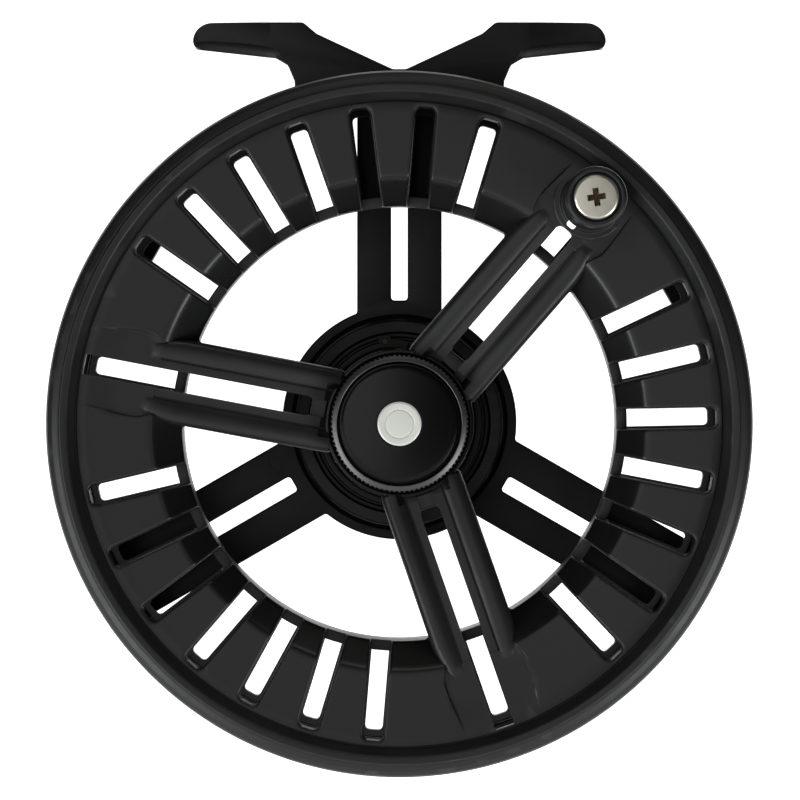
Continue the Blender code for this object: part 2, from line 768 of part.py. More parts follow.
def make_drive():
    """The driven hub on the spindle: a hexagon for the spool, and a journal inside the clutch."""
    hexagon = circle(13.0 / 2 / math.cos(math.radians(30)), 6)
    body = plate("drive_hub", [hexagon], 11.2, 0.2)
    tail = [(0, 0.4), (8.5, 0.4), (8.5, -1.2), (4.45, -1.2), (4.45, -5.3), (0, -5.3)]
    bore = [(0, THROUGH), (5.2, THROUGH), (5.2, 0.0), (2.7, 0.0), (2.7, -THROUGH), (0, -THROUGH)]
    add(body, place(turned("drive_journal", tail)))
    cut(body, place(turned("drive_bore", bore)))
    place(body, "steel")
    place(ring("bearing_rear", 5.0, 2.6, 2.6, 0.2, ROUND), "steel")
    place(ring("bearing_spacer", 5.0, 4.1, 8.3, 2.9, ROUND), "aluminium")
    place(ring("bearing_front", 5.0, 2.6, 11.0, 8.6, ROUND), "steel")
    place(ring("spindle_clip", 3.7, 2.35, 11.9, 11.4, ROUND), "black_steel")


def make_spindle():
    profile = [
        (0, SPINDLE_FRONT),
        (1.7, SPINDLE_FRONT),
        (2.1, SPINDLE_FRONT - 0.4),
        (2.1, 13.4),
        (1.6, 13.4),
        (1.6, 12.4),
        (SPINDLE_R, 12.2),
        (SPINDLE_R, 12.1),
        (2.2, 12.1),
        (2.2, 11.2),
        (SPINDLE_R, 11.2),
        (SPINDLE_R, FRAME_BACK_Z),
        (2.0, FRAME_BACK_Z),
        (2.0, SPINDLE_BACK),
        (0.9, SPINDLE_BACK),
        (0.9, SPINDLE_BACK + 5.0),
        (0, SPINDLE_BACK + 5.0),
    ]
    place(turned("spindle", profile, ROUND), "steel")


def make_click():
    """Spring click: a pawl on its pin, with its tip between two teeth of the gear."""
    x, y = polar(PAWL_PIVOT_R, PAWL_PIVOT_ANGLE)
    pawl = filleted([(-0.9, -0.9), (0.9, -0.9), (0.9, 0.75), (-0.9, 0.75)], {0: 0.5, 1: 0.5, 2: 0.5, 3: 0.5})
    # The arm runs back along the gear and its beak reaches in between two teeth.
    arm = [(-0.3, -0.85), (2.3, -1.35), (2.67, -2.5), (3.1, -1.4), (3.5, -0.7), (0.3, 0.5), (-0.9, 0.3)]
    body = plate("click_pawl", [arm], -0.35, -1.15)
    head = plate("pawl_head", [pawl], -0.3, -1.2)
    eye = disc("pawl_eye", 0.5, 2, -2, 12)
    at = (x, y, 0)
    turn = (0, 0, PAWL_PIVOT_ANGLE - 90)
    add(body, place(head, at=at, turn=turn))
    cut(body, place(eye, at=at))
    place(body, "brass", at, turn)
    place(disc("pawl_pin", 0.42, -0.1, -1.6, 12), "steel", at)


def make_knob():
    """Drag knob with its nut, springs, retaining screw and cover."""
    profile = [
        (KNOB_R - 0.4, KNOB_FRONT),
        (KNOB_R, KNOB_FRONT - 0.5),
        (KNOB_R - 0.3, KNOB_BACK + 1.2),
        (KNOB_R - 1.4, KNOB_BACK),
        (6.6, KNOB_BACK),
        (6.6, KNOB_BACK + 1.6),
        (2.4, KNOB_BACK + 1.6),
        (2.4, KNOB_BACK + 2.8),
        (7.0, KNOB_BACK + 2.8),
        (7.0, KNOB_FRONT),
    ]
    body = turned("drag_knob", profile, 36)
    flutes = [circle(2.6, 8, polar(KNOB_R + 1.7, 360 / KNOB_FLUTES * step)) for step in range(KNOB_FLUTES)]
    cut(body, place(plate("knob_flutes", flutes, 0, -THROUGH)))
    pocket = disc("detent_pocket", 1.1, 0, -14.6, 16)
    cut(body, place(pocket, at=(0, 9.0, 0)))
    keys = plate("nut_keys", [slot(angle, 5.6, 7.5, 2.0, 0.1) for angle in (0, 180)], -12.0, KNOB_BACK + 2.5)
    add(body, place(keys))
    place(body, "knob_black")
    place(disc("detent_ball", 0.75, -11.1, -12.1, 12), "steel", (0, 9.0, 0))
    coil("detent_spring", 0.7, 0.13, 4, -12.4, -14.3, (0, 9.0, 0))
    nut_slots = [slot(angle, 5.2, 7.5, 2.5, 0.1) for angle in (0, 180)]
    nut = ring("drag_nut", 6.6, 2.1, -14.2, -17.2, ROUND)
    cut(nut, place(plate("nut_slots", nut_slots, 0, -THROUGH)))
    place(nut, "brass")
    coil("drag_spring", 4.2, 0.3, 2, -11.3, -13.1)
    retainer = [(0, 0.8), (3.0, 0.8), (3.4, 0.4), (3.4, 0), (0.7, 0), (0.7, -4.2), (0, -4.2)]
    place(turned("knob_screw", retainer, ROUND), "steel", (0, 0, SPINDLE_BACK - 0.4), FACING_BACK)
    place(disc("knob_cap", 6.3, KNOB_BACK + 0.1, KNOB_BACK - 0.6, 36), "gloss_black")


make_spool_front()
make_spool_rear()
make_hub_pieces()
make_cap()
make_handle()
make_frame_back()
make_front_ring()
make_pillars()
make_bridge()
make_foot()
make_drag()
make_drive()
make_spindle()
make_click()
make_knob()
finish_shading()
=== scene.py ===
"""The looks of a large-arbor fly reel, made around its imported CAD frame.

Every visible CAD solid is replaced here by a finer mesh of the same size with its moulded
details, and the hidden ones keep their CAD mesh under a better material. Shapes are drawn in
the reel's own axes, in millimetres: x to the right, y up and z forward, towards the handle,
with the spool's axis on z. `at` takes them to the frame's metres.
"""

import json
import math

import bmesh
import bpy
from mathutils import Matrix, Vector


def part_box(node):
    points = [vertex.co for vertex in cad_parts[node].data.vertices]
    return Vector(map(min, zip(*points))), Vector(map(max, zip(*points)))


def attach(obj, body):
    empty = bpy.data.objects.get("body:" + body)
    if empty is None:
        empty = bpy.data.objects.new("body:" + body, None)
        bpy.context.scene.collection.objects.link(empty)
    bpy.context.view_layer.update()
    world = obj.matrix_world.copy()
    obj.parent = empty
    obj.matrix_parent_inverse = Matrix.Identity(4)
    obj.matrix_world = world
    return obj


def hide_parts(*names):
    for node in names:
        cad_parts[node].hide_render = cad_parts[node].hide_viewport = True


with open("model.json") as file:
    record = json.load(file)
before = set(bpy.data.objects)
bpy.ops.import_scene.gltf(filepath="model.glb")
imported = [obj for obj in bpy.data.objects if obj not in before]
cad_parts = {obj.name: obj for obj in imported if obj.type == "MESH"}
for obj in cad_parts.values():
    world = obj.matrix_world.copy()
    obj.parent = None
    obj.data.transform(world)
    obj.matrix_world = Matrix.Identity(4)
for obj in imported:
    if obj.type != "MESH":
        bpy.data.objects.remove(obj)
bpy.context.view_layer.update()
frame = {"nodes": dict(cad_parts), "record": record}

# ---------------------------------------------------------------- sizes from the frame
MM = 0.001


def node_box(name):
    """Lowest and highest corner of a CAD node in the reel's axes, in millimetres."""
    low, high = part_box(name)
    lowest = (low.x / MM, (low.z - AXIS_HEIGHT) / MM, -high.y / MM)
    highest = (high.x / MM, (high.z - AXIS_HEIGHT) / MM, -low.y / MM)
    return lowest, highest


RIM_LOW, RIM_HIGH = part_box("spool_front")
AXIS_HEIGHT = (RIM_LOW.z + RIM_HIGH.z) / 2
RIM_R = (RIM_HIGH.x - RIM_LOW.x) / 2 / MM
RIM_FRONT = -RIM_LOW.y / MM
HANDLE_LOW, HANDLE_HIGH = node_box("handle_knob")
HANDLE_AT = ((HANDLE_LOW[0] + HANDLE_HIGH[0]) / 2, (HANDLE_LOW[1] + HANDLE_HIGH[1]) / 2)
HANDLE_TOP = HANDLE_HIGH[2]
HANDLE_BASE = HANDLE_LOW[2]
HANDLE_R = math.hypot(*HANDLE_AT)
HANDLE_ANGLE = math.degrees(math.atan2(HANDLE_AT[1], HANDLE_AT[0]))
FRAME_R = node_box("frame_back")[1][0]
FOOT_HIGH = node_box("reel_foot")[1]
KNOB_LOW, KNOB_HIGH = node_box("drag_knob")

SPOKE_ANGLES = [HANDLE_ANGLE + 120 * turn for turn in range(3)]
SLOT_PITCH = 12.0
SLOT_ANGLES = [spoke + SLOT_PITCH * step for spoke in SPOKE_ANGLES for step in range(2, 9)]
FRAME_SPOKES = (90.0, 210.0, 330.0)

OPENING_R = 32.2
FACE_R = 47.4
SLOT_END_R = 46.8
SLOT_CORNER = 0.9
SLOT_HALF = 1.45


def at(x, y, z):
    """A point in the reel's axes, in millimetres, as the frame's metres."""
    return Vector((x * MM, -z * MM, y * MM + AXIS_HEIGHT))


def polar(radius, angle):
    return radius * math.cos(math.radians(angle)), radius * math.sin(math.radians(angle))


def turned_by(point, angle):
    """The point turned about the spool's axis by `angle` degrees."""
    x, y = point
    cosine = math.cos(math.radians(angle))
    sine = math.sin(math.radians(angle))
    return x * cosine - y * sine, x * sine + y * cosine


def smoothstep(low, high, value):
    t = min(max((value - low) / (high - low), 0.0), 1.0)
    return t * t * (3 - 2 * t)


# ---------------------------------------------------------------- materials
def node(tree, kind, **values):
    made = tree.nodes.new("ShaderNode" + kind)
    for name, value in values.items():
        if hasattr(made, name):
            setattr(made, name, value)
        else:
            made.inputs[name.replace("_", " ")].default_value = value
    return made


def lathe_radius(tree, centre):
    """Distance from a turned part's own axis, which runs along Y through `centre`."""
    place = node(tree, "TexCoord").outputs["Object"]
    shift = node(tree, "VectorMath", operation="SUBTRACT")
    tree.links.new(place, shift.inputs[0])
    shift.inputs[1].default_value = centre
    flat = node(tree, "VectorMath", operation="MULTIPLY")
    tree.links.new(shift.outputs[0], flat.inputs[0])
    flat.inputs[1].default_value = (1, 0, 1)
    length = node(tree, "VectorMath", operation="LENGTH")
    tree.links.new(flat.outputs[0], length.inputs[0])
    return length.outputs["Value"]


def finish(
    name,
    colour,
    roughness,
    metallic=0.0,
    spread=0.12,
    blotch=0.03,
    grain=0.00035,
    depth=0.00001,
    strength=0.35,
    lathe=None,
    specular=0.5,
    scuff=None,
):
    """A procedural surface: cloudy colour, uneven polish, and a fine moulded or turned grain.

    `spread` is how far the colour and polish wander, `blotch` the size of the clouds and
    `grain` that of the texture, both in metres. `lathe` is the centre of turning marks.
    `scuff` is the colour that shows along worn edges.
    """
    made = bpy.data.materials.new(name)
    made.use_nodes = True
    tree = made.node_tree
    link = tree.links.new
    shader = tree.nodes["Principled BSDF"]
    shader.inputs["Metallic"].default_value = metallic
    shader.inputs["Specular IOR Level"].default_value = specular
    place = node(tree, "TexCoord").outputs["Object"]

    clouds = node(tree, "TexNoise", Scale=1 / blotch, Detail=4.0, Roughness=0.6)
    link(place, clouds.inputs["Vector"])
    tint = node(tree, "MixRGB", blend_type="MIX")
    tint.inputs["Color1"].default_value = (*[c * (1 - spread) for c in colour], 1)
    tint.inputs["Color2"].default_value = (*[min(c * (1 + spread), 1) for c in colour], 1)
    link(clouds.outputs["Fac"], tint.inputs["Fac"])
    shade = tint.outputs["Color"]
    if scuff:
        edge = node(tree, "NewGeometry").outputs["Pointiness"]
        sharp = node(tree, "MapRange")
        for socket, value in zip(("From Min", "From Max", "To Min", "To Max"), (0.53, 0.6, 0, 0.5)):
            sharp.inputs[socket].default_value = value
        link(edge, sharp.inputs["Value"])
        worn = node(tree, "MixRGB", blend_type="MIX")
        link(sharp.outputs["Result"], worn.inputs["Fac"])
        link(shade, worn.inputs["Color1"])
        worn.inputs["Color2"].default_value = (*scuff, 1)
        shade = worn.outputs["Color"]
    link(shade, shader.inputs["Base Color"])

    polish = node(tree, "TexNoise", Scale=2.7 / blotch, Detail=6.0, Roughness=0.7)
    link(place, polish.inputs["Vector"])
    gloss = node(tree, "MapRange")
    low, high = roughness * (1 - spread), roughness * (1 + spread)
    for socket, value in zip(("From Min", "From Max", "To Min", "To Max"), (0.3, 0.7, low, high)):
        gloss.inputs[socket].default_value = value
    link(polish.outputs["Fac"], gloss.inputs["Value"])
    link(gloss.outputs["Result"], shader.inputs["Roughness"])

    if lathe is None:
        texture = node(tree, "TexNoise", Scale=1 / grain, Detail=3.0, Roughness=0.55)
        link(place, texture.inputs["Vector"])
    else:
        texture = node(tree, "TexNoise", noise_dimensions="1D", Scale=1.0, Detail=3.0)
        rings = node(tree, "Math", operation="MULTIPLY")
        link(lathe_radius(tree, lathe), rings.inputs[0])
        rings.inputs[1].default_value = 1 / grain
        link(rings.outputs[0], texture.inputs["W"])
    bump = node(tree, "Bump", Strength=strength, Distance=depth)
    link(texture.outputs["Fac"], bump.inputs["Height"])
    link(bump.outputs["Normal"], shader.inputs["Normal"])
    return made


WORN_SPOOL = (0.04, 0.039, 0.036)
REEL_CENTRE = tuple(at(0, 0, 0))
HANDLE_CENTRE = tuple(at(*HANDLE_AT, 0))
FINISHES = {
    "frame_black": finish(
        "frame_black", (0.0065, 0.0065, 0.0062), 0.46, specular=0.3, scuff=(0.02, 0.02, 0.019)
    ),
    "spool_black": finish(
        "spool_black", (0.0085, 0.0085, 0.0082), 0.44, spread=0.16, scuff=WORN_SPOOL
    ),
    "gloss_black": finish(
        "gloss_black", (0.002, 0.0021, 0.0026), 0.22, spread=0.05, grain=0.00009,
        lathe=REEL_CENTRE, strength=0.12, specular=0.3,
    ),
    "knob_black": finish("knob_black", (0.009, 0.0095, 0.011), 0.38, scuff=(0.04, 0.04, 0.04)),
    "badge_grey": finish(
        "badge_grey", (0.84, 0.85, 0.78), 0.42, metallic=0.15, spread=0.05, grain=0.00012,
        lathe=REEL_CENTRE,
    ),
    "nickel": finish(
        "nickel", (0.80, 0.76, 0.66), 0.36, metallic=1.0, spread=0.08, blotch=0.002,
        grain=0.00006, lathe=HANDLE_CENTRE,
    ),
    "steel": finish("steel", (0.56, 0.56, 0.57), 0.28, metallic=1.0, grain=0.00008, lathe=REEL_CENTRE),
    "black_steel": finish("black_steel", (0.02, 0.02, 0.021), 0.33, metallic=0.9, grain=0.0001),
    "brass": finish("brass", (0.66, 0.47, 0.20), 0.32, metallic=1.0, grain=0.0001, lathe=REEL_CENTRE),
    "aluminium": finish(
        "aluminium", (0.62, 0.63, 0.65), 0.35, metallic=1.0, grain=0.0001, lathe=REEL_CENTRE
    ),
    "friction": finish("friction", (0.16, 0.085, 0.05), 0.72, spread=0.3, blotch=0.001, grain=0.0002),
    "rubber": finish("rubber", (0.010, 0.010, 0.010), 0.75, grain=0.0002),
}
# These pieces have a finish of their own within their slot.
OWN_FINISH = {
    "release_ring": finish(
        "anodised_grey", (0.115, 0.113, 0.11), 0.42, metallic=1.0, grain=0.00008, lathe=REEL_CENTRE
    ),
    # The click pawl and its pin are far darker than the brass and steel elsewhere.
    "click_pawl": finish("dark_brass", (0.022, 0.020, 0.017), 0.5, metallic=0.6, grain=0.0001),
    "pawl_pin": finish("dark_steel", (0.05, 0.05, 0.052), 0.45, metallic=0.9, grain=0.0001),
}
# Painted shade: a blotchy dark brown for the faces of the screw's cross recess, standing in for the
# shade inside it.
RECESS_PAINTED_SHADE = finish(
    "recess_painted_shade", (0.11, 0.075, 0.048), 0.6, metallic=0.7, spread=0.4, blotch=0.0008,
    grain=0.0001,
)
# Painted shade: a darker copy of the spool's black, also less rough, for the bevel round the opening,
# which is darker where the light falls less on it.
BEVEL_SMOOTH_AND_PAINTED_SHADE = finish(
    "spool_bevel_smooth_painted_shade", (0.0062, 0.0062, 0.006), 0.3, spread=0.14, specular=0.36,
    scuff=WORN_SPOOL,
)
SLOT_OF = {part["node"]: part["material_slot"] for part in frame["record"]["subparts"]}
BODY_OF = {
    name: body for body, names in frame["record"]["behaviour"]["bodies"].items() for name in names
}


# ---------------------------------------------------------------- mesh building
SHARP_ANGLE = 32


def shaded(obj):
    obj.data.shade_smooth()
    obj.data.set_sharp_from_angle(angle=math.radians(SHARP_ANGLE))
    return obj


def piece_from(cage, name):
    """A new object from a finished bmesh, facing out."""
    bmesh.ops.remove_doubles(cage, verts=cage.verts, dist=1e-8)
    bmesh.ops.recalc_face_normals(cage, faces=cage.faces)
    mesh = bpy.data.meshes.new(name)
    cage.to_mesh(mesh)
    cage.free()
    obj = bpy.data.objects.new(name, mesh)
    bpy.context.scene.collection.objects.link(obj)
    return obj


def boolean(obj, other, operation):
    """obj with `other` added or cut away; `other` is used up."""
    modifier = obj.modifiers.new(operation, "BOOLEAN")
    modifier.operation = operation
    modifier.solver = "MANIFOLD"
    modifier.object = other
    bpy.context.view_layer.update()
    graph = bpy.context.evaluated_depsgraph_get()
    mesh = bpy.data.meshes.new_from_object(obj.evaluated_get(graph))
    obj.modifiers.clear()
    old = obj.data
    obj.data = mesh
    bpy.data.meshes.remove(old)
    bpy.data.objects.remove(other)
    return obj


def cut(obj, other):
    return boolean(obj, other, "DIFFERENCE")


def add(obj, other):
    return boolean(obj, other, "UNION")


def rounded(points, radii, count=4, closed=True):
    """The outline with corners rounded: `radii` is one radius for all or index: radius."""
    out = []
    last = len(points) - 1
    for index, corner in enumerate(points):
        radius = radii.get(index, 0) if isinstance(radii, dict) else radii
        if not radius or (not closed and index in (0, last)):
            out.append(tuple(corner))
            continue
        here = Vector(corner)
        before = Vector(points[index - 1]) - here
        after = Vector(points[(index + 1) % len(points)]) - here
        half = before.angle(after) / 2
        reach = min(radius / math.tan(half), before.length * 0.48, after.length * 0.48)
        start = here + before.normalized() * reach
        end = here + after.normalized() * reach
        for step in range(count + 1):
            t = step / count
            out.append(tuple(start * (1 - t) ** 2 + here * 2 * t * (1 - t) + end * t**2))
    return out


def straight(radius, _angle):
    return radius


def turned(name, profile, steps=160, centre=(0, 0), shape=straight):
    """A turned body from (radius, z) points. A profile that starts and ends on the axis is
    closed there, and any other one is a ring. `shape` may vary the radius with the angle."""
    cage = bmesh.new()
    on_axis = profile[0][0] == 0
    columns = []
    for step in range(steps):
        angle = 360 * step / steps
        column = []
        for radius, z in profile:
            if radius == 0 and columns:
                column.append(columns[0][len(column)])
                continue
            x, y = polar(shape(radius, angle) if radius else 0, angle)
            column.append(cage.verts.new(at(x + centre[0], y + centre[1], z)))
        columns.append(column)
    count = len(profile)
    spans = range(count - 1 if on_axis else count)
    for index, column in enumerate(columns):
        following = columns[(index + 1) % steps]
        for low in spans:
            high = (low + 1) % count
            corners = [column[low], column[high], following[high], following[low]]
            corners = list(dict.fromkeys(corners))
            if len(corners) > 2:
                cage.faces.new(corners)
    return piece_from(cage, name)


def loft(name, sections):
    """A solid through closed sections of equally many (x, y, z) points."""
    cage = bmesh.new()
    loops = [[cage.verts.new(at(*point)) for point in section] for section in sections]
    size = len(loops[0])
    for first, second in zip(loops, loops[1:]):
        for side in range(size):
            after = (side + 1) % size
            cage.faces.new((first[side], first[after], second[after], second[side]))
    cage.faces.new(loops[0])
    cage.faces.new(loops[-1])
    return piece_from(cage, name)


def plate(name, outlines, front, back, edge=0.0):
    """A flat piece from closed outlines, one inside another being a hole, with its edges
    rounded by `edge`."""
    curve = bpy.data.curves.new(name, "CURVE")
    curve.dimensions = "2D"
    curve.fill_mode = "BOTH"
    curve.extrude = (front - back) / 2 * MM - edge * MM
    curve.bevel_depth = edge * MM
    curve.bevel_resolution = 3
    curve.offset = -edge * MM
    for outline in outlines:
        spline = curve.splines.new("POLY")
        spline.points.add(len(outline) - 1)
        for point, (x, y) in zip(spline.points, outline):
            point.co = (x * MM, y * MM, 0, 1)
        spline.use_cyclic_u = True
    flat = bpy.data.objects.new(name, curve)
    bpy.context.scene.collection.objects.link(flat)
    bpy.context.view_layer.update()
    graph = bpy.context.evaluated_depsgraph_get()
    mesh = bpy.data.meshes.new_from_object(flat.evaluated_get(graph))
    bpy.data.objects.remove(flat)
    cage = bmesh.new()
    cage.from_mesh(mesh)
    middle = (front + back) / 2
    for vertex in cage.verts:
        x, y, z = vertex.co / MM
        vertex.co = at(x, y, z + middle)
    bmesh.ops.remove_doubles(cage, verts=cage.verts, dist=1e-7)
    return piece_from(cage, name)


def arc(radius, start, end, count, centre=(0, 0)):
    step = (end - start) / (count - 1)
    points = [polar(radius, start + step * index) for index in range(count)]
    return [(x + centre[0], y + centre[1]) for x, y in points]


def circle(radius, count, centre=(0, 0)):
    return arc(radius, 0, 360 - 360 / count, count, centre)


def slot_outline(angle, inner, outer, half, inner_corner=0.1, outer_corner=0.6, count=5):
    """A radial slot of half width `half` between two distances from the axis."""
    box = [(inner, -half), (outer, -half), (outer, half), (inner, half)]
    corners = {0: inner_corner, 1: outer_corner, 2: outer_corner, 3: inner_corner}
    return [turned_by(point, angle) for point in rounded(box, corners, count)]


def stands_for(obj, *nodes):
    """Gives the piece its finish, puts it on its body and lets it stand for the CAD nodes."""
    slot = SLOT_OF[nodes[0]]
    obj.data.materials.clear()
    obj.data.materials.append(OWN_FINISH.get(nodes[0], FINISHES[slot]))
    shaded(obj)
    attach(obj, BODY_OF[nodes[0]])
    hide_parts(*nodes)
    return obj


# ---------------------------------------------------------------- spool: slotted face and rim
EDGE = 0.34  # rounding along each slot and along the opening
MARGIN = 0.5  # from a slot to the plain face
FLARE = 0.15  # a slot is this much wider at the face than behind it
EDGE_STEPS = 5
FACE_ROWS = 34
PLAIN_BLOCK_COLUMNS = 6
STRIP_SIDE_COLUMNS = 16
STRIP_COLUMNS = 24
CREASE_WIDTH = 0.3
# Where the columns beside a crease lie, in crease widths out from it.
CREASE_COLUMNS = (0.25, 0.0, -0.25, -0.5, -0.75, -1.0, -1.25)
STRIP_DEPTH = 0.42
STRIP_BEGINS = (33.0, 36.0)  # radii over which the strip sinks below the face
STRIP_ENDS = (41.5, 46.6)  # and rises to it again
FACE_BEND = 0.25  # rounding between the face and the bevel
STRIP_BEND_LESS = 0.23  # how much sharper that is on the strip

BACK_INNER_R = 34.6
BACK_INNER_Z = 11.5
BACK_OUTER_R = 37.6
BACK_OUTER_Z = 15.5
BACK_DRAFT = 0.04

BEVEL_R = 36.4
BEVEL_TOP = 17.72
FACE_SLOPE = (18.3 - BEVEL_TOP) / (FACE_R - BEVEL_R)
BEVEL_SLOPE = (BEVEL_TOP - 12.9) / (BEVEL_R - OPENING_R)


def face_height(radius, bend):
    """Face, turned down to the opening at the bevel, with the bend between them rounded."""
    on_face = BEVEL_TOP + (radius - BEVEL_R) * FACE_SLOPE
    on_bevel = BEVEL_TOP - (BEVEL_R - radius) * BEVEL_SLOPE
    gap = on_face - on_bevel
    if abs(gap) >= 2 * bend:
        return min(on_face, on_bevel)
    # A smooth lower envelope of the two slopes.
    return (on_face + on_bevel) / 2 - (gap * gap / (8 * bend) + bend / 2)


def back_height(radius):
    if radius >= BACK_OUTER_R:
        return BACK_OUTER_Z + (radius - BACK_OUTER_R) * BACK_DRAFT
    if radius >= BACK_INNER_R:
        share = (radius - BACK_INNER_R) / (BACK_OUTER_R - BACK_INNER_R)
        return BACK_INNER_Z + (BACK_OUTER_Z - BACK_INNER_Z) * share
    return BACK_INNER_Z


def edge_drop(distance):
    """How far a rounded edge falls, `distance` in from the edge."""
    if distance >= EDGE:
        return 0.0
    run = EDGE - max(distance, 0.0)
    return EDGE - math.sqrt(EDGE * EDGE - run * run)


def crease_offset(along):
    """Half width of the lower strip beside a spoke's slot, at `along` from the axis."""
    return 5.5 + 0.95 * smoothstep(35.6, 38.8, along) - 0.45 * smoothstep(39.5, 46.5, along)


def strip_share(radius, angle):
    """1 on the lower strip round a spoke's outer end, 0 on the face beside it."""
    nearest = min(SPOKE_ANGLES, key=lambda spoke: abs((angle - spoke + 180) % 360 - 180))
    away = (angle - nearest + 180) % 360 - 180
    along, across = polar(radius, away)
    return 1 - smoothstep(-CREASE_WIDTH, 0.0, abs(across) - crease_offset(along))


def surface_height(radius, angle):
    inside = strip_share(radius, angle)
    depth = STRIP_DEPTH * smoothstep(*STRIP_BEGINS, radius) * (1 - smoothstep(*STRIP_ENDS, radius))
    return face_height(radius, FACE_BEND - STRIP_BEND_LESS * inside) - depth * inside


def column_angles(row, slot, span):
    """Angles of a block's columns along one row. On a spoke's block, some of them follow the
    two creases, so that each crease is a clean step."""
    edge = math.degrees(math.asin((SLOT_HALF + FLARE + MARGIN) / row))
    start, end = slot + edge, slot + span - edge
    stops = [start]
    if span > 2 * SLOT_PITCH:
        middle = slot + span / 2
        crease = crease_offset(row)
        aways = [crease + CREASE_WIDTH * share for share in CREASE_COLUMNS]
        aways = [math.degrees(math.asin(away / row)) for away in aways]
        stops += [middle - away for away in aways] + [middle + away for away in reversed(aways)]
    stops.append(end)
    angles = []
    for index, (first, second) in enumerate(zip(stops, stops[1:])):
        if len(stops) == 2:
            count = PLAIN_BLOCK_COLUMNS
        elif index in (0, len(stops) - 2):
            count = STRIP_SIDE_COLUMNS
        elif index == len(stops) // 2 - 1:
            count = STRIP_COLUMNS
        else:
            count = 1
        angles += [first + (second - first) * step / count for step in range(count)]
    return angles + [end]


# Distances in from an edge at which its rounding has points.
EDGE_OFFSETS = [EDGE * (1 - math.cos(math.pi / 2 * k / EDGE_STEPS)) for k in range(EDGE_STEPS + 1)]
OFFSETS = EDGE_OFFSETS + [MARGIN]


def ring_rows():
    """Radii of the rows from the opening out to where the slots' ends begin."""
    rows = [OPENING_R + offset for offset in EDGE_OFFSETS]
    start = rows[-1]
    end = SLOT_END_R - SLOT_CORNER
    for index in range(1, FACE_ROWS + 1):
        rows.append(start + (end - start) * index / FACE_ROWS)
    return rows


ROWS = ring_rows()
END_STEPS = 6


def slot_path(offset):
    """Points round a slot's outline at `offset` from its edge: out, round the end and back.
    Each is (radius of its row or None, along, across)."""
    half = SLOT_HALF + FLARE + offset
    side = [(row, math.sqrt(row * row - half * half), half) for row in ROWS]
    centre = (side[-1][1], SLOT_HALF + FLARE - SLOT_CORNER)
    radius = SLOT_CORNER + offset
    corner = []
    for step in range(1, END_STEPS + 1):
        x, y = polar(radius, 90 - 90 * step / END_STEPS)
        corner.append((None, centre[0] + x, centre[1] + y))
    upper = side + corner
    lower = [(row, x, -y) for row, x, y in upper]
    return lower + upper[::-1]


def make_face_and_rim():
    """The slotted face with every block's edges rounded, and the palming rim round it, as one
    closed mesh. Rows run round the axis and loops run round each slot."""
    cage = bmesh.new()

    def top(x, y, distance, row):
        radius = math.hypot(x, y)
        angle = math.degrees(math.atan2(y, x))
        height = surface_height(radius, angle) - edge_drop(distance)
        if row is not None:
            height -= edge_drop(row - OPENING_R)
        return cage.verts.new(at(x, y, height))

    def bottom(x, y):
        return cage.verts.new(at(x, y, back_height(math.hypot(x, y))))

    def bridge(first, second):
        for a, b, c, d in zip(first, first[1:], second[1:], second):
            cage.faces.new((a, b, c, d))

    slots = sorted(angle % 360 for angle in SLOT_ANGLES)
    loops = []
    for slot in slots:
        upper, lower = [], []
        for offset in OFFSETS:
            row_of_top, row_of_bottom = [], []
            inner = slot_path(offset - FLARE * (1 - offset / MARGIN))
            for (row, x, y), (_, u, v) in zip(slot_path(offset), inner):
                row_of_top.append(top(*turned_by((x, y), slot), offset, row))
                row_of_bottom.append(bottom(*turned_by((u, v), slot)))
            upper.append(row_of_top)
            lower.append(row_of_bottom)
        for near, far in zip(upper, upper[1:]):
            bridge(near, far)
        for near, far in zip(lower, lower[1:]):
            bridge(near, far)
        bridge(upper[0], lower[0])
        loops.append((slot, upper, lower))

    rim_top, rim_bottom, angles = [], [], []
    size = len(ROWS)
    for index, (slot, upper, lower) in enumerate(loops):
        following, next_upper, next_lower = loops[(index + 1) % len(loops)]
        span = (following - slot) % 360
        columns_top = [upper[-1][::-1][:size]]
        columns_bottom = [lower[-1][::-1][:size]]
        side = math.degrees(math.asin((SLOT_HALF + FLARE + MARGIN) / ROWS[-1]))
        turns_of_row = [column_angles(row, slot, span) for row in ROWS]
        for turns in list(zip(*turns_of_row))[1:-1]:
            line_top, line_bottom = [], []
            for row, angle in zip(ROWS, turns):
                x, y = polar(row, angle)
                line_top.append(top(x, y, MARGIN, row))
                line_bottom.append(bottom(x, y))
            columns_top.append(line_top)
            columns_bottom.append(line_bottom)
        columns_top.append(next_upper[-1][:size])
        columns_bottom.append(next_lower[-1][:size])
        for first, second in zip(columns_top, columns_top[1:]):
            bridge(first, second)
        for first, second in zip(columns_bottom, columns_bottom[1:]):
            bridge(first, second)
        # The block's inner end, from its rounded front edge to its back.
        front = [loop[-1] for loop in upper] + [line[0] for line in columns_top[1:-1]]
        front += [loop[0] for loop in reversed(next_upper)]
        back = [loop[-1] for loop in lower] + [line[0] for line in columns_bottom[1:-1]]
        back += [loop[0] for loop in reversed(next_lower)]
        bridge(front, back)
        # The ring that joins the blocks starts round this slot's end and along this block.
        end_top = upper[-1][size - 1 : -size]
        end_bottom = lower[-1][size - 1 : -size]
        rim_top += end_top + [line[-1] for line in columns_top[:-1]]
        rim_bottom += end_bottom + [line[-1] for line in columns_bottom[:-1]]
        ends = len(end_top)
        angles += [slot - side + 2 * side * step / ends for step in range(ends)]
        angles += turns_of_row[-1][:-1]

    rings = [rim_top]
    for radius, z in RIM_PROFILE:
        rings.append([cage.verts.new(at(*polar(radius, angle), z)) for angle in angles])
    rings.append(rim_bottom)
    for first, second in zip(rings, rings[1:]):
        bridge(first + first[:1], second + second[:1])
    return piece_from(cage, "spool_face_and_rim")


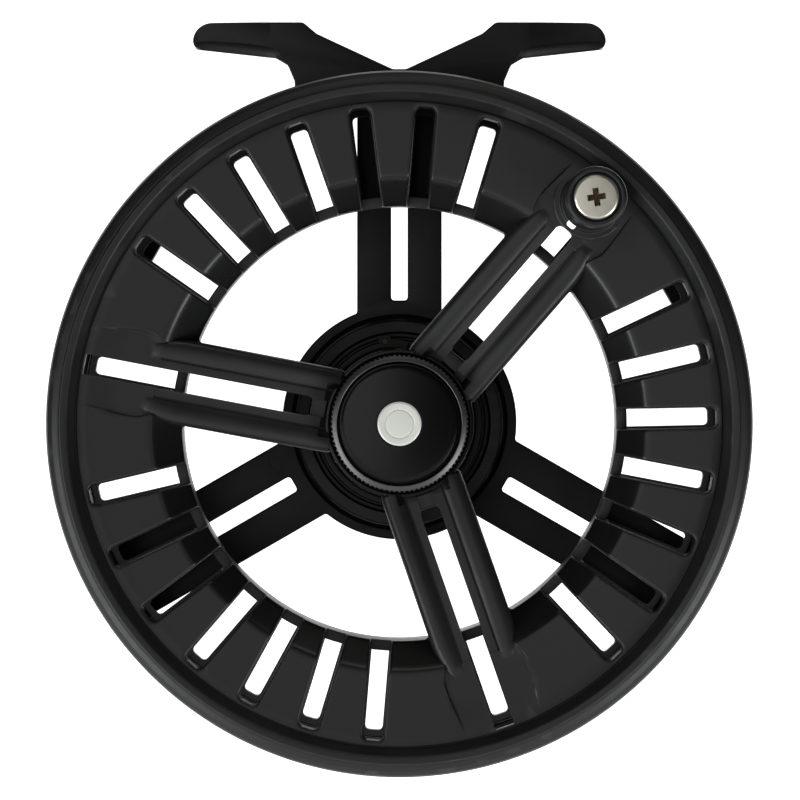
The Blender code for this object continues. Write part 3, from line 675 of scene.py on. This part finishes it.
RIM_PROFILE = rounded(
    [
        (FACE_R, 18.3),
        (47.52, 18.24),
        (47.6, 18.02),
        (47.72, 18.02),
        (48.72, RIM_FRONT - 0.36),
        (48.95, RIM_FRONT - 0.08),
        (49.8, RIM_FRONT),
        (49.98, RIM_FRONT - 0.04),
        (50.12, RIM_FRONT - 0.36),
        (50.3, RIM_FRONT - 0.38),
        (51.05, RIM_FRONT - 0.8),
        (51.7, RIM_FRONT - 1.4),
        (RIM_R, RIM_FRONT - 2.2),
        (RIM_R, 10.3),
        (51.6, 9.9),
        (50.9, 9.9),
        (50.7, 10.1),
        (50.7, 16.0),
        (FACE_R, 15.9),
    ],
    0.28,
    3,
    closed=False,
)


LEG_HALF = 6.3  # from a spoke's middle to the outer flank of its legs
LEG_GROOVE = 3.0


def leg_section(spoke, side, along, top, ledge, bottom, outer=LEG_HALF):
    """One section of a spoke's leg: a low ledge by the slot, a groove, and a rounded bar."""
    bar = top - ledge
    flat = [
        (1.25, bottom),
        (1.25, ledge),
        (2.7, ledge),
        (2.8, ledge - 0.2),
        (2.96, ledge - 0.2),
        (3.06, ledge + 0.15 * bar),
        (3.45, ledge + 0.6 * bar),
        (4.1, ledge + 0.92 * bar),
        (4.75, top),
        (5.3, top - 0.06),
        (5.75, top - 0.28),
        (6.08, top - 0.7),
        (LEG_HALF, top - 1.35),
        (6.2, bottom),
    ]
    squeeze = (outer - LEG_GROOVE) / (LEG_HALF - LEG_GROOVE)
    section = []
    for across, z in flat:
        if across > LEG_GROOVE:
            across = LEG_GROOVE + (across - LEG_GROOVE) * squeeze
        section.append((*turned_by((along, side * across), spoke), z))
    return section


def make_leg(spoke, side):
    """A leg rises from the hub to the face and sinks into it, with a kink part way."""
    # Each station is how far along, then the heights of the top, ledge and bottom, and where
    # the leg is narrower its outer flank.
    stations = (
        (8.6, 12.3, 11.8, 7.6, 5.4),
        (9.0, 12.4, 11.9, 7.6, 5.95),
        (9.7, 12.5, 12.0, 7.6, 6.25),
        (11.6, 12.95, 12.4, 7.7),
        (18.0, 14.45, 13.85, 8.6),
        (23.8, 15.75, 15.15, 9.4),
        (25.4, 16.02, 15.45, 9.7),
        (30.0, 16.72, 16.2, 10.9),
        (33.0, 17.18, 16.72, 12.0),
        (34.6, 17.4, 17.0, 12.9, 6.1),
        (35.8, 17.54, 17.2, 13.6, 5.85),
        (36.5, 17.6, 17.3, 14.0, 5.72),
        (37.2, 17.56, 17.28, 14.4, 5.6),
        (37.9, 17.38, 17.1, 14.6, 5.5),
        (38.5, 17.05, 16.8, 14.8, 5.4),
        (39.0, 16.4, 16.3, 15.0, 5.3),
    )
    sections = [leg_section(spoke, side, *station) for station in stations]
    inside = [(0, 40), (10.6, 40), (10.6, -10), (0, -10)]
    return cut(loft("spoke_leg", sections), turned("leg_end", inside, 120))


def corner_web(spoke, side):
    """The small fillet between a leg's flank and the opening's edge."""
    flank = 6.28
    along = math.sqrt(OPENING_R**2 - flank**2)
    turn = math.degrees(math.atan2(flank, along))
    reach = 1.7
    on_leg = (along - reach, flank - 0.05)
    on_edge = polar(OPENING_R + 0.1, turn + math.degrees(reach / OPENING_R))
    curve = rounded([on_leg, (along - 0.02, flank + 0.02), on_edge], 9.0, 8, closed=False)
    buried = flank - 0.6
    outline = [(on_leg[0], buried), *curve, (on_edge[0] + 0.8, on_edge[1]), (along + 1.35, buried)]
    outline = [turned_by((x, side * y), spoke) for x, y in outline]
    return plate("corner_web", [outline], 12.75, 11.6, edge=0.2)


HUB_R = 11.22  # just outside the hub's tube
OPENING_EDGE = 0.4  # how far the bevel's faces may reach in past the opening
BEVEL_INWARD = 0.55  # least lean towards the axis of a face on the bevel
BEVEL_FORWARD = 0.3  # and towards the front


def hub_profile():
    return rounded(
        [
            (10.6, 12.3),
            (10.9, 12.3),
            (11.05, 12.1),
            (11.05, 0.4),
            (8.9, 0.4),
            (8.9, 11.8),
            (8.2, 11.8),
            (8.2, 14.1),
            (9.0, 14.1),
            (9.0, 11.6),
            (10.5, 11.6),
            (10.5, 12.3),
        ],
        0.12,
        2,
    )


def slot_cutter(spoke, inner, outer, half, corner):
    """A cutter right through a spoke, `corner` being the rounding at its outer end."""
    return plate("slot_cutter", [slot_outline(spoke, inner, outer, half, 0.9, corner)], 40, -10)


def make_spool_front():
    body = make_face_and_rim()
    for spoke in SPOKE_ANGLES:
        for side in (1, -1):
            add(body, make_leg(spoke, side))
            add(body, corner_web(spoke, side))
        web = slot_outline(spoke, 10.9, 13.3, 2.6, 0.1, 0.1)
        add(body, plate("root_web", [web], 12.0, 8.2, edge=0.3))
    add(body, turned("spool_hub", hub_profile(), 120))
    pad = [(0, 15.2), (5.6, 15.2), (5.6, 17.5), (5.3, 17.8), (4.5, 17.8), (4.4, 18.9), (0, 18.9)]
    pad = rounded(pad, 0.25, 4, closed=False)
    add(body, turned("handle_pad", pad, 96, HANDLE_AT))
    for spoke in SPOKE_ANGLES[1:]:
        cut(body, slot_cutter(spoke, 13.3, 47.2, 1.5, 0.15))
    pad_edge = HANDLE_R - 5.3
    cut(body, slot_cutter(HANDLE_ANGLE, 13.3, pad_edge, 1.5, 1.2))
    cut(body, slot_cutter(HANDLE_ANGLE, pad_edge + 0.45, pad_edge + 1.4, 0.7, 0.1))
    cut(body, turned("insert_bore", [(0, 10), (2.45, 10), (2.45, 30), (0, 30)], 48, HANDLE_AT))
    stands_for(body, "spool_front")
    # The hub's own tube is turned and glossy, and its darker gloss black also paints shade round the
    # hub. The bevel is smoother than the face, and darker as painted shade.
    body.data.materials.append(FINISHES["gloss_black"])
    body.data.materials.append(BEVEL_SMOOTH_AND_PAINTED_SHADE)
    for face in body.data.polygons:
        x = face.center.x / MM
        y = (face.center.z - AXIS_HEIGHT) / MM
        radius = math.hypot(x, y)
        inward = -(face.normal.x * x + face.normal.z * y) / radius
        if radius < HUB_R:
            # The hub's tube takes the darker gloss black, which is partly painted shade round the hub.
            face.material_index = 1
        elif OPENING_R - OPENING_EDGE < radius < BEVEL_R:
            # The bevel's faces take the darker, smoother black, which paints shade on the bevel.
            if inward > BEVEL_INWARD and -face.normal.y > BEVEL_FORWARD:
                face.material_index = 2
    return body


def make_spool_rear():
    profile = rounded(
        [
            (33.8, 11.2),
            (33.8, -3.4),
            (35.0, -4.6),
            (47.9, -4.6),
            (47.9, -6.7),
            (32.7, -6.7),
            (OPENING_R, 11.2),
        ],
        0.3,
        3,
    )
    body = turned("spool_arbor", profile, 240)
    outlines = []
    for angle in SLOT_ANGLES + SPOKE_ANGLES:
        outlines.append(slot_outline(angle, 33.95, SLOT_END_R, 1.32, 0.1, 0.75, 6))
    cut(body, plate("rear_slots", outlines, 0, -20))
    return stands_for(body, "spool_rear")


# ---------------------------------------------------------------- hub: ring, cap and inlay
KNURLS = 86
KNURL_INNER_R = 10.1  # the teeth are outside this only
KNURL_DEPTH = 0.26


def knurled(radius, angle):
    """Fine teeth round the outer edge only."""
    wave = abs((angle * KNURLS / 360) % 1 * 2 - 1)
    return radius - KNURL_DEPTH * wave if radius > KNURL_INNER_R else radius


def make_release_ring():
    profile = rounded(
        [
            (9.2, 15.7),
            (9.3, 15.8),
            (9.9, 15.45),
            (10.2, 15.25),
            (10.2, 12.9),
            (9.1, 12.9),
            (9.1, 14.4),
            (9.2, 14.6),
        ],
        0.08,
        2,
    )
    body = turned("release_ring_knurled", profile, KNURLS * 6, (0, 0), knurled)
    return stands_for(body, "release_ring")


def make_cap():
    top = 16.0
    # The cap is slightly domed, with a recess for the inlay.
    dome_curve = 0.0052
    dome = [(r, top - dome_curve * r * r) for r in (3.5, 4.2, 5.0, 6.0, 7.0, 7.8, 8.3)]
    cap = [(0, 15.5), (3.5, 15.5), *dome]
    cap += [(8.55, top - 0.47), (8.64, top - 0.62), (8.64, 14.4), (0, 14.4)]
    stands_for(turned("hub_cap", cap, 200), "cap_disc")
    badge = rounded(
        [
            (0, 16.1),
            (1.95, 16.1),
            (2.02, 15.98),
            (2.18, 15.98),
            (2.25, 16.1),
            (3.0, 16.12),
            (3.25, 16.0),
            (3.25, 15.8),
            (0, 15.8),
        ],
        0.05,
        3,
        closed=False,
    )
    stands_for(turned("cap_inlay", badge, 120), "cap_badge")


# ---------------------------------------------------------------- handle
RECESS_R = 1.7
RECESS_DEPTHS = (0.25, 1.45)  # below the screw's top


def make_handle():
    knob = rounded(
        [
            (3.62, HANDLE_TOP),
            (4.05, HANDLE_TOP),
            (4.38, HANDLE_TOP - 0.35),
            (4.45, HANDLE_TOP - 1.0),
            (4.33, HANDLE_TOP - 3.4),
            (3.85, HANDLE_TOP - 8.5),
            (3.82, HANDLE_TOP - 13.0),
            (4.22, HANDLE_BASE + 1.6),
            (4.3, HANDLE_BASE + 0.5),
            (4.0, HANDLE_BASE),
            (2.1, HANDLE_BASE),
            (2.1, HANDLE_TOP - 2.2),
            (3.62, HANDLE_TOP - 2.2),
        ],
        {0: 0.12, 1: 0.2, 2: 0.25, 3: 0.4, 4: 2.0, 5: 2.5, 6: 2.5, 7: 0.4, 8: 0.3, 9: 0.15},
        5,
    )
    stands_for(turned("handle_grip", knob, 96, HANDLE_AT), "handle_knob")
    top = node_box("handle_screw")[1][2]
    low = node_box("handle_screw")[0][2]
    seat = top - 1.5
    screw = rounded(
        [
            (0, top),
            (2.9, top - 0.02),
            (3.28, top - 0.3),
            (3.28, seat),
            (1.1, seat),
            (1.1, low + 0.4),
            (0.7, low),
            (0, low),
        ],
        {1: 0.3, 2: 0.15},
        4,
        closed=False,
    )
    body = turned("handle_screw_head", screw, 96, HANDLE_AT)
    for angle in (8, 98):
        cut(body, cross_arm(angle, top))
    stands_for(body, "handle_screw")
    # The cross recess's faces take the dark brown that paints the shade in the recess.
    body.data.materials.append(RECESS_PAINTED_SHADE)
    for face in body.data.polygons:
        x = face.center.x / MM - HANDLE_AT[0]
        y = (face.center.z - AXIS_HEIGHT) / MM - HANDLE_AT[1]
        depth = top + face.center.y / MM
        if RECESS_DEPTHS[0] < depth < RECESS_DEPTHS[1] and math.hypot(x, y) < RECESS_R:
            face.material_index = 1


def cross_arm(angle, top):
    """One bar of the cross recess, with rounded ends and narrower at the bottom."""
    sections = []
    for depth, reach, half in ((0.4, 1.4, 0.46), (0.0, 1.32, 0.44), (-1.3, 0.9, 0.3)):
        box = [(-reach, -half), (reach, -half), (reach, half), (-reach, half)]
        outline = [turned_by(point, angle) for point in rounded(box, 0.14, 3)]
        sections.append([(x + HANDLE_AT[0], y + HANDLE_AT[1], top + depth) for x, y in outline])
    return loft("cross_arm", sections)


# ---------------------------------------------------------------- frame
FRAME_HUB_R = 17.85
FRAME_RING_R = 47.6
SPOKE_HALF = 6.45
LUG_R = 45.0
LUG_HALF_ANGLE = 10.0
PILLAR_R = 49.7
PILLAR_ANGLES = (30.0, 150.0, 210.0, 330.0)
PLATE_FRONT = -7.4
PLATE_BACK = -10.6
BRIDGE_SCREW_ANGLES = (83.0, 97.0)


def frame_window(centre):
    at_hub = 60 - math.degrees(math.asin(SPOKE_HALF / FRAME_HUB_R))
    at_ring = 60 - math.degrees(math.asin(SPOKE_HALF / FRAME_RING_R))
    if centre == 270:
        outer = arc(FRAME_RING_R, centre - at_ring, centre + at_ring, 61)
        corners = {}
    else:
        lug = LUG_R / math.cos(math.radians(LUG_HALF_ANGLE))
        before = arc(FRAME_RING_R, centre - at_ring, centre - LUG_HALF_ANGLE - 2, 25)
        after = arc(FRAME_RING_R, centre + LUG_HALF_ANGLE + 2, centre + at_ring, 25)
        ends = [polar(lug, centre - LUG_HALF_ANGLE), polar(lug, centre + LUG_HALF_ANGLE)]
        outer = before + ends + after
        corners = {24: 1.2, 25: 0.8, 26: 0.8, 27: 1.2}
    inner = arc(FRAME_HUB_R, centre + at_hub, centre - at_hub, 33)
    size = len(outer)
    corners.update({0: 1.5, size - 1: 1.5, size: 0.9, size + len(inner) - 1: 0.9})
    return rounded(outer + inner, corners, 6)


def make_frame_back():
    outlines = [circle(FRAME_R, 240)]
    for spoke in FRAME_SPOKES:
        outlines.append(frame_window((spoke + 300) % 360))
        outlines.append(slot_outline(spoke, 18.6, 44.0, 1.25, 0.6, 0.6, 5))
    body = plate("frame_plate", outlines, PLATE_FRONT, PLATE_BACK, edge=0.3)
    wall = [(FRAME_R - 0.05, -4.0), (FRAME_R - 0.05, -8.5), (48.1, -8.5), (48.1, -4.0)]
    add(body, turned("frame_wall", rounded(wall, 0.25, 3), 240))
    # The drag cup, with the turned steps that show between the spool's spokes.
    cup = rounded(
        [
            (0, -1.0),
            (15.3, -1.0),
            (15.6, -1.3),
            (15.6, -6.6),
            (15.75, -7.9),
            (0, -7.9),
        ],
        0.18,
        3,
        closed=False,
    )
    add(body, turned("drag_cup", cup, 160))
    groove = [(15.62, -5.0), (16.5, -5.0), (16.5, -7.95), (15.9, -8.3), (15.62, -8.0)]
    cut(body, turned("cup_groove", rounded(groove, 0.1, 2), 160))
    bore = [(0, 20), (13.8, 20), (13.8, -8.6), (2.8, -8.6), (2.8, -30), (0, -30)]
    cut(body, turned("hub_bore", bore, 160))
    # A faint round mark, left by the mould's ejector pin.
    pin_at = polar(18.55, 197.0)
    above, below = PLATE_FRONT + 1, PLATE_FRONT - 0.12
    mark = rounded([(2.3, above), (2.3, below), (2.15, below), (2.15, above)], 0.01)
    cut(body, turned("pin_mark", mark, 72, pin_at))
    screws = (*PILLAR_ANGLES, *BRIDGE_SCREW_ANGLES)
    holes = [circle(1.25, 32, polar(PILLAR_R, angle)) for angle in screws]
    cut(body, plate("screw_holes", holes, 0, -20))
    return stands_for(body, "frame_back")


def make_front_ring():
    profile = rounded(
        [(50.2, 15.0), (50.2, 9.4), (51.8, 9.4), (51.8, 7.4), (48.1, 7.4), (48.1, 15.0)], 0.25, 3
    )
    body = turned("frame_front_hoop", profile, 240)
    holes = [circle(1.2, 32, polar(PILLAR_R, angle)) for angle in PILLAR_ANGLES]
    cut(body, plate("hoop_holes", holes, 8.8, 0))
    return stands_for(body, "frame_front_ring")


def make_pillars():
    names = ("upper_right", "upper_left", "lower_left", "lower_right")
    for name, angle in zip(names, PILLAR_ANGLES):
        centre = polar(PILLAR_R, angle)
        profile = rounded(
            [
                (0, 8.4),
                (0.9, 8.4),
                (0.9, 7.1),
                (1.6, 7.1),
                (1.6, -3.7),
                (1.05, -3.7),
                (1.05, 2.3),
                (0, 2.3),
            ],
            0.15,
            3,
            closed=False,
        )
        stands_for(turned("post_" + name, profile, 48, centre), "pillar_" + name)


def foot_screw_shaft(name, radius, low, high):
    """Sections of an upright cylinder round one of the foot's screws."""
    lowest, highest = node_box("foot_screw_" + name)
    x = (lowest[0] + highest[0]) / 2
    z = (lowest[2] + highest[2]) / 2
    return [[(x + u, y, z + v) for u, v in circle(radius, 24)] for y in (low, high)]


def make_foot():
    """The rod foot: two wings on a triangular saddle, each scooped along its lower edge."""
    half = FOOT_HIGH[0]
    top = FOOT_HIGH[1]
    tip = [math.radians(10 * step) for step in range(10)]
    right = [
        (1.0, 53.0),
        (12.4, 58.3),
        (14.4, top),
        *[(half - 3.0 * (1 - math.sin(t)), top - 2.7 * (1 - math.cos(t))) for t in tip],
        (half - 0.2, 56.6),
        (half - 1.4, 55.9),
        (18.4, 54.6),
        (16.7, 53.6),
        (15.7, 51.2),
    ]
    left = [(-x, y) for x, y in reversed(right)]
    base_r = 51.9
    reach = math.degrees(math.asin(15.6 / base_r))
    points = right + arc(base_r, 90 - reach, 90 + reach, 33) + left
    last = len(points) - 1
    corners = {0: 1.2, 1: 0.8, 2: 1.2, 13: 0.6, 14: 0.8, 15: 1.8, 16: 1.2}
    corners.update({last - index: radius for index, radius in list(corners.items())})
    wide = FOOT_HIGH[2]
    body = plate("foot_plate", [rounded(points, corners, 6)], wide, -wide, edge=0.3)
    plan_half = half + 0.5
    plan = [(plan_half, 4.0), (17.0, wide + 0.4), (-17.0, wide + 0.4), (-plan_half, 4.0)]
    plan += [(x, -z) for x, z in reversed(plan)]
    plan = rounded(plan, {0: 3.0, 3: 3.0, 4: 3.0, 7: 3.0}, 8)
    sections = [[(x, y, z) for x, z in plan] for y in (45.0, 65.0)]
    boolean(body, loft("foot_envelope", sections), "INTERSECT")
    for side in (1, -1):
        for face in (1, -1):
            cut(body, wing_scoop(side, face))
        cut(body, wing_relief(side))
    for name in ("left", "right"):
        end = node_box("foot_screw_" + name)[1][1] + 0.3
        cut(body, loft("foot_screw_hole", foot_screw_shaft(name, 1.05, 40.0, end)))
    return stands_for(body, "reel_foot")


def wing_scoop(side, face):
    """A rounded trough along the lower front or back edge of one wing."""
    stations = (
        (17.6, 0.25),
        (17.9, 0.8),
        (18.6, 1.25),
        (20.0, 1.55),
        (24.0, 1.6),
        (28.0, 1.5),
        (30.0, 1.3),
        (30.9, 1.1),
        (31.8, 1.0),
    )
    sections = []
    for along, size in stations:
        low = 54.45 + (along - 18.0) * 0.112
        depth = 6.6 - (along - 17.0) * 0.158
        section = []
        for step in range(16):
            y, z = polar(size, 360 * step / 16)
            section.append((side * along, low + y * 1.15, face * (depth + z)))
        sections.append(section)
    return loft("wing_scoop", sections)


def wing_relief(side):
    """Lets the underside of one wing rise towards the back."""
    stations = ((15.2, 50.2), (15.9, 51.7), (16.8, 53.62), (18.5, 54.62), (30.7, 55.95), (33.0, 56.4))
    sections = []
    for along, low in stations:
        points = ((low - 2.0, 5.5), (low - 2.0, -9.0), (low + 0.9, -9.0), (low - 0.02, 5.5))
        sections.append([(side * along, y, z) for y, z in points])
    return loft("wing_relief", sections)


def make_bridge():
    outline = arc(FRAME_R, 72, 108, 41) + arc(48.3, 108, 72, 41)
    outline = rounded(outline, {0: 0.4, 40: 0.4, 41: 0.4, 81: 0.4}, 4)
    body = plate("foot_saddle_bar", [outline], 7.1, -3.7, edge=0.25)
    for angle in BRIDGE_SCREW_ANGLES:
        hole = [(0, 1.3), (1.05, 1.3), (1.05, -20), (0, -20)]
        cut(body, turned("bar_hole", hole, 24, polar(PILLAR_R, angle)))
    for name in ("left", "right"):
        seat = node_box("foot_screw_" + name)[0][1] + 1.3
        for radius, end in ((1.3, 60.0), (2.2, seat)):
            cut(body, loft("foot_screw_seat", foot_screw_shaft(name, radius, 40.0, end)))
    return stands_for(body, "foot_bridge")


def make_drag_cover():
    profile = rounded(
        [
            (13.5, -1.9),
            (13.5, -3.4),
            (10.0, -3.4),
            (10.0, -1.9),
            (11.0, -1.9),
            (11.15, -2.2),
            (11.45, -2.2),
            (11.6, -1.9),
            (12.4, -1.9),
            (12.55, -2.25),
            (12.85, -2.25),
            (13.0, -1.9),
        ],
        0.12,
        3,
    )
    return stands_for(turned("drag_housing_cover", profile, 160), "drag_cover")


# ---------------------------------------------------------------- drag knob
FLUTES = 12
FLUTE_INNER_R = 11.0  # nothing inside this is fluted
FLUTE_DEPTH = 0.9
FLUTE_SHARE = 0.62  # of the pitch that a flute takes


def fluted(radius, angle):
    """Finger scallops round the knob."""
    if radius < FLUTE_INNER_R:
        return radius
    half = 180 / FLUTES
    away = abs((angle + half) % (2 * half) - half) / half
    return radius - FLUTE_DEPTH * (1 - smoothstep(0.0, FLUTE_SHARE, away))


def make_drag_knob():
    outer = KNOB_HIGH[0]
    front = KNOB_HIGH[2]
    back = KNOB_LOW[2]
    profile = rounded(
        [
            (outer - 0.4, front),
            (outer, front - 0.5),
            (outer - 0.3, back + 1.2),
            (outer - 1.4, back),
            (8.2, back),
            (7.9, back + 0.35),
            (7.3, back + 0.35),
            (7.0, back),
            (6.6, back),
            (6.6, back + 1.6),
            (2.4, back + 1.6),
            (2.4, back + 2.8),
            (7.0, back + 2.8),
            (7.0, front),
        ],
        0.22,
        4,
    )
    body = turned("drag_knob_fluted", profile, 240, (0, 0), fluted)
    pocket = [(0, 0), (1.1, 0), (1.1, -14.6), (0, -14.6)]
    cut(body, turned("ball_pocket", pocket, 32, (0, 9.0)))
    for angle in (0, 180):
        key = plate("nut_key", [slot_outline(angle, 5.6, 7.5, 1.0, 0.1, 0.1)], -12.0, back + 2.5)
        add(body, key)
    stands_for(body, "drag_knob")
    cap = rounded(
        [(0, back + 0.1), (6.3, back + 0.1), (6.3, back - 0.35), (5.9, back - 0.6), (0, back - 0.6)],
        0.2,
        4,
        closed=False,
    )
    stands_for(turned("knob_cover", cap, 120), "knob_cap")


make_spool_front()
make_spool_rear()
make_release_ring()
make_cap()
make_handle()
make_frame_back()
make_front_ring()
make_pillars()
make_foot()
make_bridge()
make_drag_cover()
make_drag_knob()

for name, obj in frame["nodes"].items():
    obj.data.materials.clear()
    obj.data.materials.append(OWN_FINISH.get(name, FINISHES[SLOT_OF[name]]))
    for face in obj.data.polygons:
        face.material_index = 0

# ---------------------------------------------------------------- stage, camera and light
CAMERA_AWAY = 0.700  # from the rim's front
CAMERA_UP = 6.76  # above the spool's axis, in millimetres


def stage_plane(name, size, place, turn, material):
    cage = bmesh.new()
    bmesh.ops.create_grid(cage, x_segments=1, y_segments=1, size=size / 2)
    mesh = bpy.data.meshes.new(name)
    cage.to_mesh(mesh)
    cage.free()
    obj = bpy.data.objects.new(name, mesh)
    obj.location = place
    obj.rotation_euler = [math.radians(angle) for angle in turn]
    obj.data.materials.append(material)
    bpy.context.scene.collection.objects.link(obj)


def stage_material(name, colour, glow):
    made = bpy.data.materials.new(name)
    made.use_nodes = True
    shader = made.node_tree.nodes["Principled BSDF"]
    shader.inputs["Base Color"].default_value = (*colour, 1)
    shader.inputs["Roughness"].default_value = 0.9
    shader.inputs["Emission Color"].default_value = (*colour, 1)
    shader.inputs["Emission Strength"].default_value = glow
    return made


floor_white = stage_material("floor_white", (0.86, 0.86, 0.86), 0.42)
stage_plane("floor", 6.0, (0, 0, -0.6), (0, 0, 0), floor_white)
backdrop_white = stage_material("backdrop_white", (0.92, 0.92, 0.92), 1.1)
stage_plane("backdrop", 2.2, (0, 1.1, 0.3), (90, 0, 0), backdrop_white)


def area_light(name, place, target, size, power, colour=(1, 1, 1)):
    light = bpy.data.lights.new(name, "AREA")
    light.shape = "RECTANGLE"
    light.size, light.size_y = size
    light.energy = power
    light.color = colour
    obj = bpy.data.objects.new(name, light)
    obj.location = place
    obj.rotation_euler = (Vector(target) - Vector(place)).to_track_quat("-Z", "Y").to_euler()
    bpy.context.scene.collection.objects.link(obj)


CENTRE = at(0, 0, 0)
area_light("front_fill", (-0.5, -1.9, 0.15), CENTRE, (1.0, 1.2), 3.9)
area_light("low_left", (-0.39, -0.26, -0.27), CENTRE, (0.18, 0.42), 1.3, (0.95, 0.98, 1.0))
area_light("low_right", (0.37, -0.26, -0.31), CENTRE, (0.2, 0.2), 0.9, (0.95, 0.98, 1.0))
area_light("top_strip", (0.1, -0.3, 0.95), CENTRE, (1.0, 0.3), 1.4, (1.0, 0.98, 0.95))

world = bpy.data.worlds.new("studio")
bpy.context.scene.world = world
world.use_nodes = True
background = world.node_tree.nodes["Background"]
background.inputs["Color"].default_value = (0.9, 0.9, 0.9, 1)
# The studio looks pale all round, while its light comes from the lamps and the backdrop.
ray = node(world.node_tree, "LightPath")
strength = node(world.node_tree, "MapRange")
strength.inputs["To Min"].default_value = 0.05
strength.inputs["To Max"].default_value = 1.0
world.node_tree.links.new(ray.outputs["Is Camera Ray"], strength.inputs["Value"])
world.node_tree.links.new(strength.outputs["Result"], background.inputs["Strength"])

camera_data = bpy.data.cameras.new("camera")
camera_data.lens = 214.8
camera_data.sensor_width = 36.0
camera_data.shift_x = 0.00075
camera_data.shift_y = -0.0275
camera = bpy.data.objects.new("camera", camera_data)
camera.location = at(0, CAMERA_UP, RIM_FRONT) - Vector((0, CAMERA_AWAY, 0))
camera.rotation_euler = (math.radians(90), 0, 0)
bpy.context.scene.collection.objects.link(camera)
bpy.context.scene.camera = camera
bpy.context.scene.view_settings.view_transform = "Standard"

bpy.context.view_layer.update()
